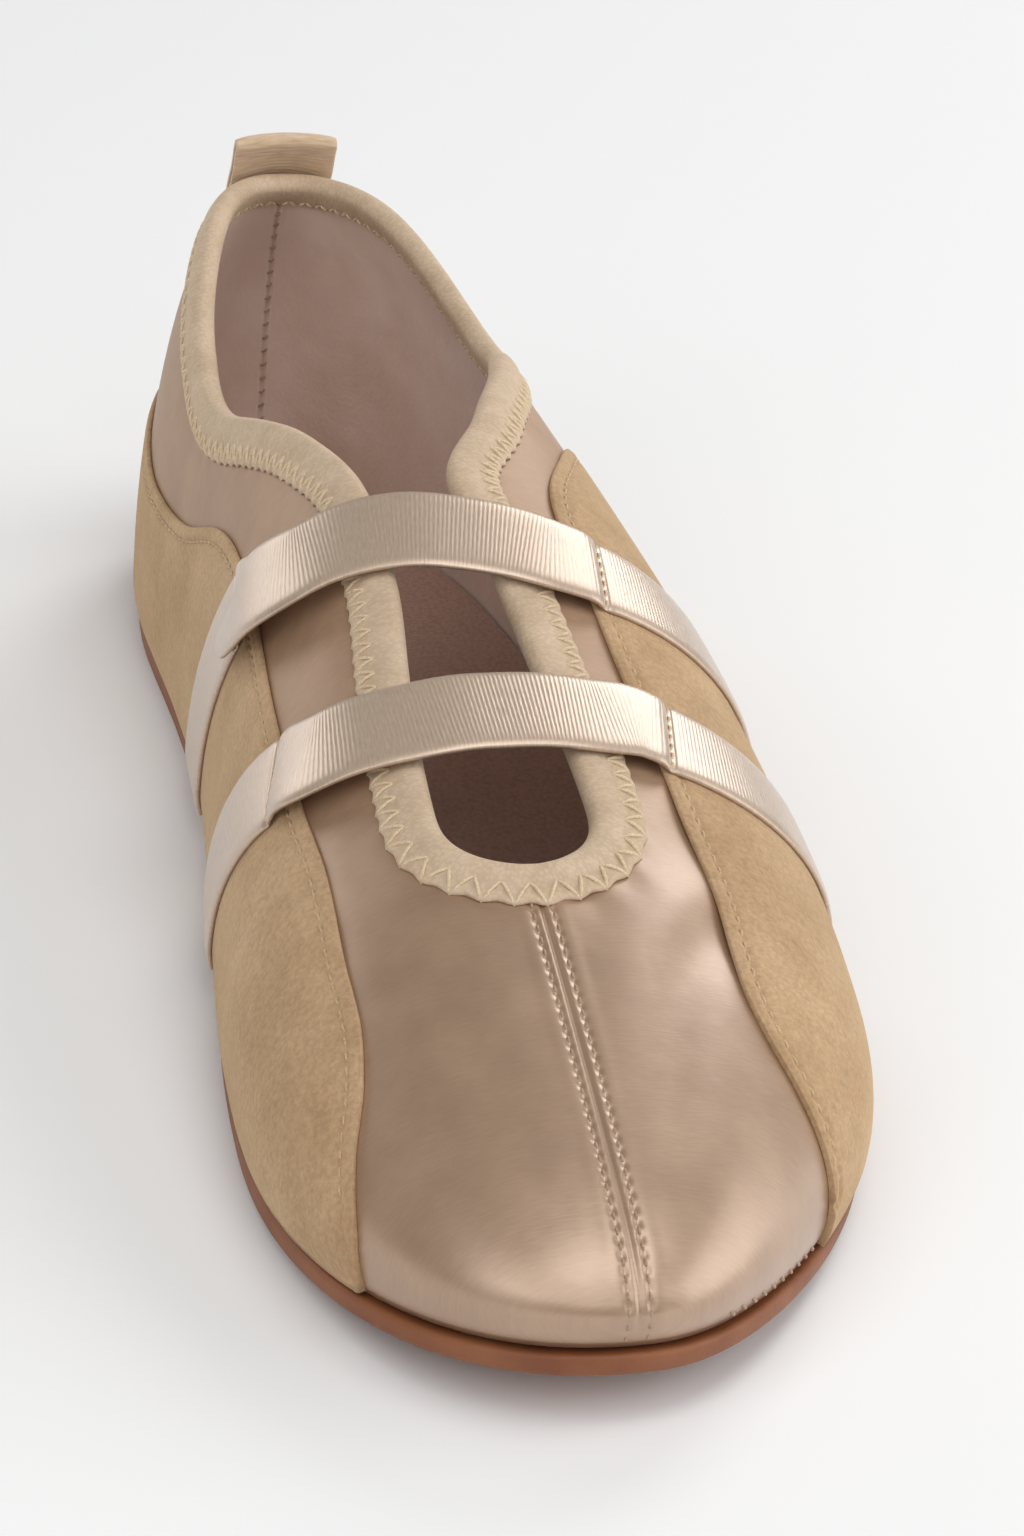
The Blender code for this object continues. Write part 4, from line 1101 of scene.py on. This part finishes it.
def strap_span(before, after, way):
    """Free part between the sewn ones: a cubic through its way, level across."""
    ends = [np.r_[side[row, CENTRE, :2], STRAP_SEAT] for side, row in ((before, -1), (after, 0))]
    t, across, rise = way.T
    between = [across * BALL_WIDTH, LENGTH * (0.5 - t), STRAP_SEAT + STRAP_RISE * rise]
    knots = np.vstack([ends[0], np.column_stack(between), ends[1]])
    feet = np.column_stack([knots[:, :2], last_height(*knots.T[:2])])
    run = run_along(settle(feet, knots[:, 2]))
    even = np.linspace(0, run[-1], 420)[1:-1]
    x, y, rise = (curve_through(even, run, knots[:, k]) for k in range(3))
    middle = settle(np.stack([x, y, last_height(x, y)], -1), rise)
    across = unit(np.cross(np.gradient(middle, axis=0), last_normal(x, y)))
    return middle[:, None] + across[:, None] * PARTS[:, None] * STRAP_WIDTH / 2


def strap_surface(shares, way):
    """Underside of a strap in even rows, and the length along it at its two sewn rows.

    The sewn parts lie on the suede and climb to the free part's height past the stitches.
    """
    lateral = strap_side(1, shares[0], shares[1], SUEDE_LATERAL, 230)
    medial = [one[::-1, ::-1] for one in strap_side(-1, shares[3], shares[2], SUEDE_MEDIAL, 200)]
    skin = [on_skin(*lines) for lines in (lateral, medial)]
    span = strap_span(*skin, np.array(way))
    sewn = []
    for lines, points, end in ((lateral, skin[0], -1), (medial, skin[1], 0)):
        run = run_along(points[:, CENTRE])
        left = np.abs(run - run[end])
        seat = STRAP_SEAT + (STRAP_SEWN - STRAP_SEAT) * smooth(left, 0.0002, STRAP_ROW + 0.0003)
        sewn.append(on_skin(*lines, seat[:, None]))
    base = np.concatenate([sewn[0], span, sewn[1]])
    for _ in range(12):
        base[1:-1] = (base[:-2] + 2 * base[1:-1] + base[2:]) / 4
    run = run_along(base[:, CENTRE])
    rows = run[len(sewn[0]) - 1] - STRAP_ROW, run[-len(sewn[1])] + STRAP_ROW
    even = np.linspace(0, run[-1], 1200)
    base = at_runs(base.reshape(len(base), -1), run, even).reshape(-1, *base.shape[1:])
    return base, even, rows


def strap_mesh(name, shares, way):
    """Flat band with rounded selvedges; ribs are a cosine of the length along the band."""
    base, even, rows = strap_surface(shares, way)
    normals = unit(np.cross(np.gradient(base, axis=1), np.gradient(base, axis=0)))
    normals = normals * np.sign(normals[len(even) // 2, CENTRE, 2])
    rib = np.cos(2 * np.pi * even / RIB_PITCH) * RIB_HEIGHT
    body = 1 - np.abs(PARTS)**10
    welt = SELVEDGE * hump(np.abs(PARTS) - 0.88, 0.05)
    sewn = sum(hump(even - row, 0.0007) for row in rows)
    top = STRAP_THICK * (0.66 + 0.34 * body) + rib[:, None] * (1 - np.abs(PARTS)**6) + welt
    top = top - SEWN_DIP * sewn[:, None]
    low = 0.16 * STRAP_THICK * np.abs(PARTS)**8 + 0 * top
    face = base + normals * top[..., None]
    under = (base + normals * low[..., None])[:, ::-1][:, ::2]
    points = np.concatenate([face, under], 1)
    map_u = np.r_[PARTS, PARTS[::-1][::2], PARTS[0]] * STRAP_WIDTH / 2
    mesh = grid_mesh(name, points, map_u + 0 * even[:, None], even[:, None] + 0 * map_u, tube=True)
    stitches = []
    for row in rows:
        line, up = (at_runs(one.reshape(len(even), -1), even, row).reshape(-1, 3)[1:-1]
                    for one in (face, normals))
        places, ups = evenly(line, STRAP_PITCH, (up,))
        gap = 0.12 * (places[1:] - places[:-1])
        stitches.append((places[:-1] + gap, places[1:] - gap, ups[1:]))
    return mesh, stitches


rows = []
for name, shares in STRAPS.items():
    mesh, stitches = strap_mesh(name + "_elastic", shares, STRAP_WAYS[name])
    weld(mesh)
    add_piece(name + "_elastic", mesh, elastic, "elastic", name)
    rows += stitches
starts, ends, normals = (np.concatenate(one) for one in zip(*rows))
mesh = stitch_mesh("strap_stitches", starts, ends, normals, FINE_THREAD, 1.2)
add_piece("strap_stitches", mesh, thread, "binding_cloth")


# Pull tab. Cotton tape folded into a loop and sewn to the outside of the heel, with the
# fold standing above the topline.

TAB_WIDTH = 0.0156
TAB_THICK = 0.0011
TAB_RISE = 0.0062
TAB_LENGTH = 0.0240
TAB_FOLD = 0.0004
TAB_RIB_PITCH, TAB_RIB_HEIGHT = 0.0009, 0.00007

# Grosgrain tape: fine, tight cross ribs with a dull surface.
tape, tree, shader = new_material("tape", "#B99C78", Roughness=0.7, Sheen_Weight=0.3)
cloth = add(tree, "ShaderNodeUVMap", {"uv_map": "UVMap"}).outputs["UV"]
ribs = add(tree, "ShaderNodeMapping", {"Scale": (1 / 0.0030, 1 / 0.0003, 1.0)}, {"Vector": cloth})
grain = add(tree, "ShaderNodeTexNoise", {"Scale": 1.0, "Detail": 2.0},
            {"Vector": ribs.outputs["Vector"]})
base = add(tree, "ShaderNodeValToRGB", {"color_ramp": ((0.3, "#C2A482"), (0.7, "#DDC3A4"))},
           {"Fac": grain.outputs["Fac"]}).outputs["Color"]
tree.links.new(base, shader.inputs["Base Color"])
bump = add(tree, "ShaderNodeBump", {"Strength": 0.4, "Distance": 0.0001},
           {"Height": grain.outputs["Fac"]})
tree.links.new(bump.outputs["Normal"], shader.inputs["Normal"])


def tab_line():
    """Path of the tape in (down, out) from the edge: up in front, over, and down behind."""
    over_satin = GAP + TAB_THICK / 2
    over_binding = over_satin + BINDING_GAP + BINDING
    layer = TAB_THICK + TAB_FOLD
    step = BINDING_OUT + TAB_THICK
    front = [(TAB_LENGTH, over_satin), (step + 3 * TAB_THICK, over_satin),
             (step, over_binding), (BINDING_OUT / 2, over_binding), (0, over_binding)]
    bend = np.radians([-90, -45, 0, 45, 90])
    top = [(-TAB_RISE - layer / 2 * np.cos(a), over_binding + layer / 2 * (1 + np.sin(a)))
           for a in bend]
    behind = [(down, out + layer) for down, out in front[::-1]]
    corners = np.array(front + top + behind)
    run = run_along(corners)
    even = np.linspace(0, run[-1], 260)
    line = at_runs(corners, run, even)
    for _ in range(8):
        line[1:-1] = (line[:-2] + 2 * line[1:-1] + line[2:]) / 4
    return line, even


line, run = tab_line()
across = np.gradient(line, axis=0)
across = unit(np.stack([-across[:, 1], across[:, 0]], -1))
parts = np.sin(np.linspace(-np.pi / 2, np.pi / 2, 13))
rib = TAB_RIB_HEIGHT * np.cos(2 * np.pi * run / TAB_RIB_PITCH)
half_thick = TAB_THICK / 2 * (0.55 + 0.45 * (1 - np.abs(parts)**8))
half_thick = half_thick + rib[:, None] * (1 - np.abs(parts)**6)
sheets = []
for sign in (1, -1):
    thick = half_thick * sign
    x = parts * TAB_WIDTH / 2 + 0 * thick
    down = line[:, 0, None] + across[:, 0, None] * thick
    out = line[:, 1, None] + across[:, 1, None] * thick
    centre = from_edge(0 * down, down, out)
    height = np.clip(1 - np.maximum(down, 0) / tall(0), -1, 1)
    beside = walk(0 * down, height, np.stack([x, 0 * x, 0 * x], -1))
    bow = on_skin(*beside) - on_skin(0 * down, height)
    bow = bow * (1 - 0.6 * smooth(-down, 0, TAB_RISE))[..., None]
    sheets.append(centre + bow)
    sheets[-1][..., 0] = x
face, under = sheets
points = np.concatenate([face, under[:, ::-1]], 1)
map_u = np.r_[parts, parts[::-1], parts[0]] * TAB_WIDTH / 2
mesh = grid_mesh("heel_tab", points, map_u + 0 * run[:, None], run[:, None] + 0 * map_u, tube=True)
weld(mesh)
add_piece("heel_tab", mesh, tape, "tape", "pull_tab")


# Studio. A near-white paper floor under seven soft lights: the main one high in front of
# the toe, one overhead, four that shape the sides, and one for the paper behind the shoe.
# An even white surround fills the shadows.

floor_mesh = bpy.data.meshes.new("floor")
floor_mesh.from_pydata([(-4, -4, 0), (4, -4, 0), (4, 4, 0), (-4, 4, 0)], [], [(0, 1, 2, 3)])
floor = bpy.data.objects.new("floor", floor_mesh)
bpy.context.scene.collection.objects.link(floor)
# Matt studio paper: near white, with no pattern at this distance.
paper, tree, shader = new_material("studio_paper", "#F6F6F6", Roughness=0.9)
floor_mesh.materials.append(paper)


def soft_light(name, place, target, wide, high, power):
    """Rectangular area light that faces a target."""
    data = bpy.data.lights.new(name, "AREA")
    data.shape = "RECTANGLE"
    data.size, data.size_y = wide, high
    data.energy = power
    light = bpy.data.objects.new(name, data)
    light.location = place
    light.rotation_euler = (Vector(target) - Vector(place)).to_track_quat("-Z", "Y").to_euler()
    bpy.context.scene.collection.objects.link(light)
    return light


soft_light("front_light", (-0.35, -0.82, 0.95), (0, -0.05, 0.03), 1.8, 1.0, 7.4)
soft_light("top_light", (0.15, -0.28, 1.10), (0, -0.05, 0.03), 0.7, 0.4, 2.9)
soft_light("right_front_light", (1.10, -0.38, 0.50), (0, -0.05, 0.03), 1.2, 1.0, 8.0)
soft_light("left_front_light", (-0.85, -0.70, 0.50), (0, -0.05, 0.03), 0.7, 0.7, 1.3)
soft_light("right_light", (0.76, 0.86, 0.70), (0, 0, 0.03), 0.5, 0.8, 5.0)
soft_light("left_light", (-0.65, 0.90, 0.34), (0, 0, 0.03), 0.5, 0.6, 2.0)
# The light on the paper behind the shoe is kept out of the reflections.
paper_light = soft_light("back_light", (0.10, 2.10, 0.36), (0, 0, 0.05), 4.0, 0.7, 4.0)
paper_light.visible_glossy = False

world = bpy.data.worlds.new("studio")
world.use_nodes = True
world.node_tree.nodes["Background"].inputs["Color"].default_value = rgb("#FFFFFF")
world.node_tree.nodes["Background"].inputs["Strength"].default_value = 0.20
bpy.context.scene.world = world
bpy.context.scene.view_settings.view_transform = "Standard"
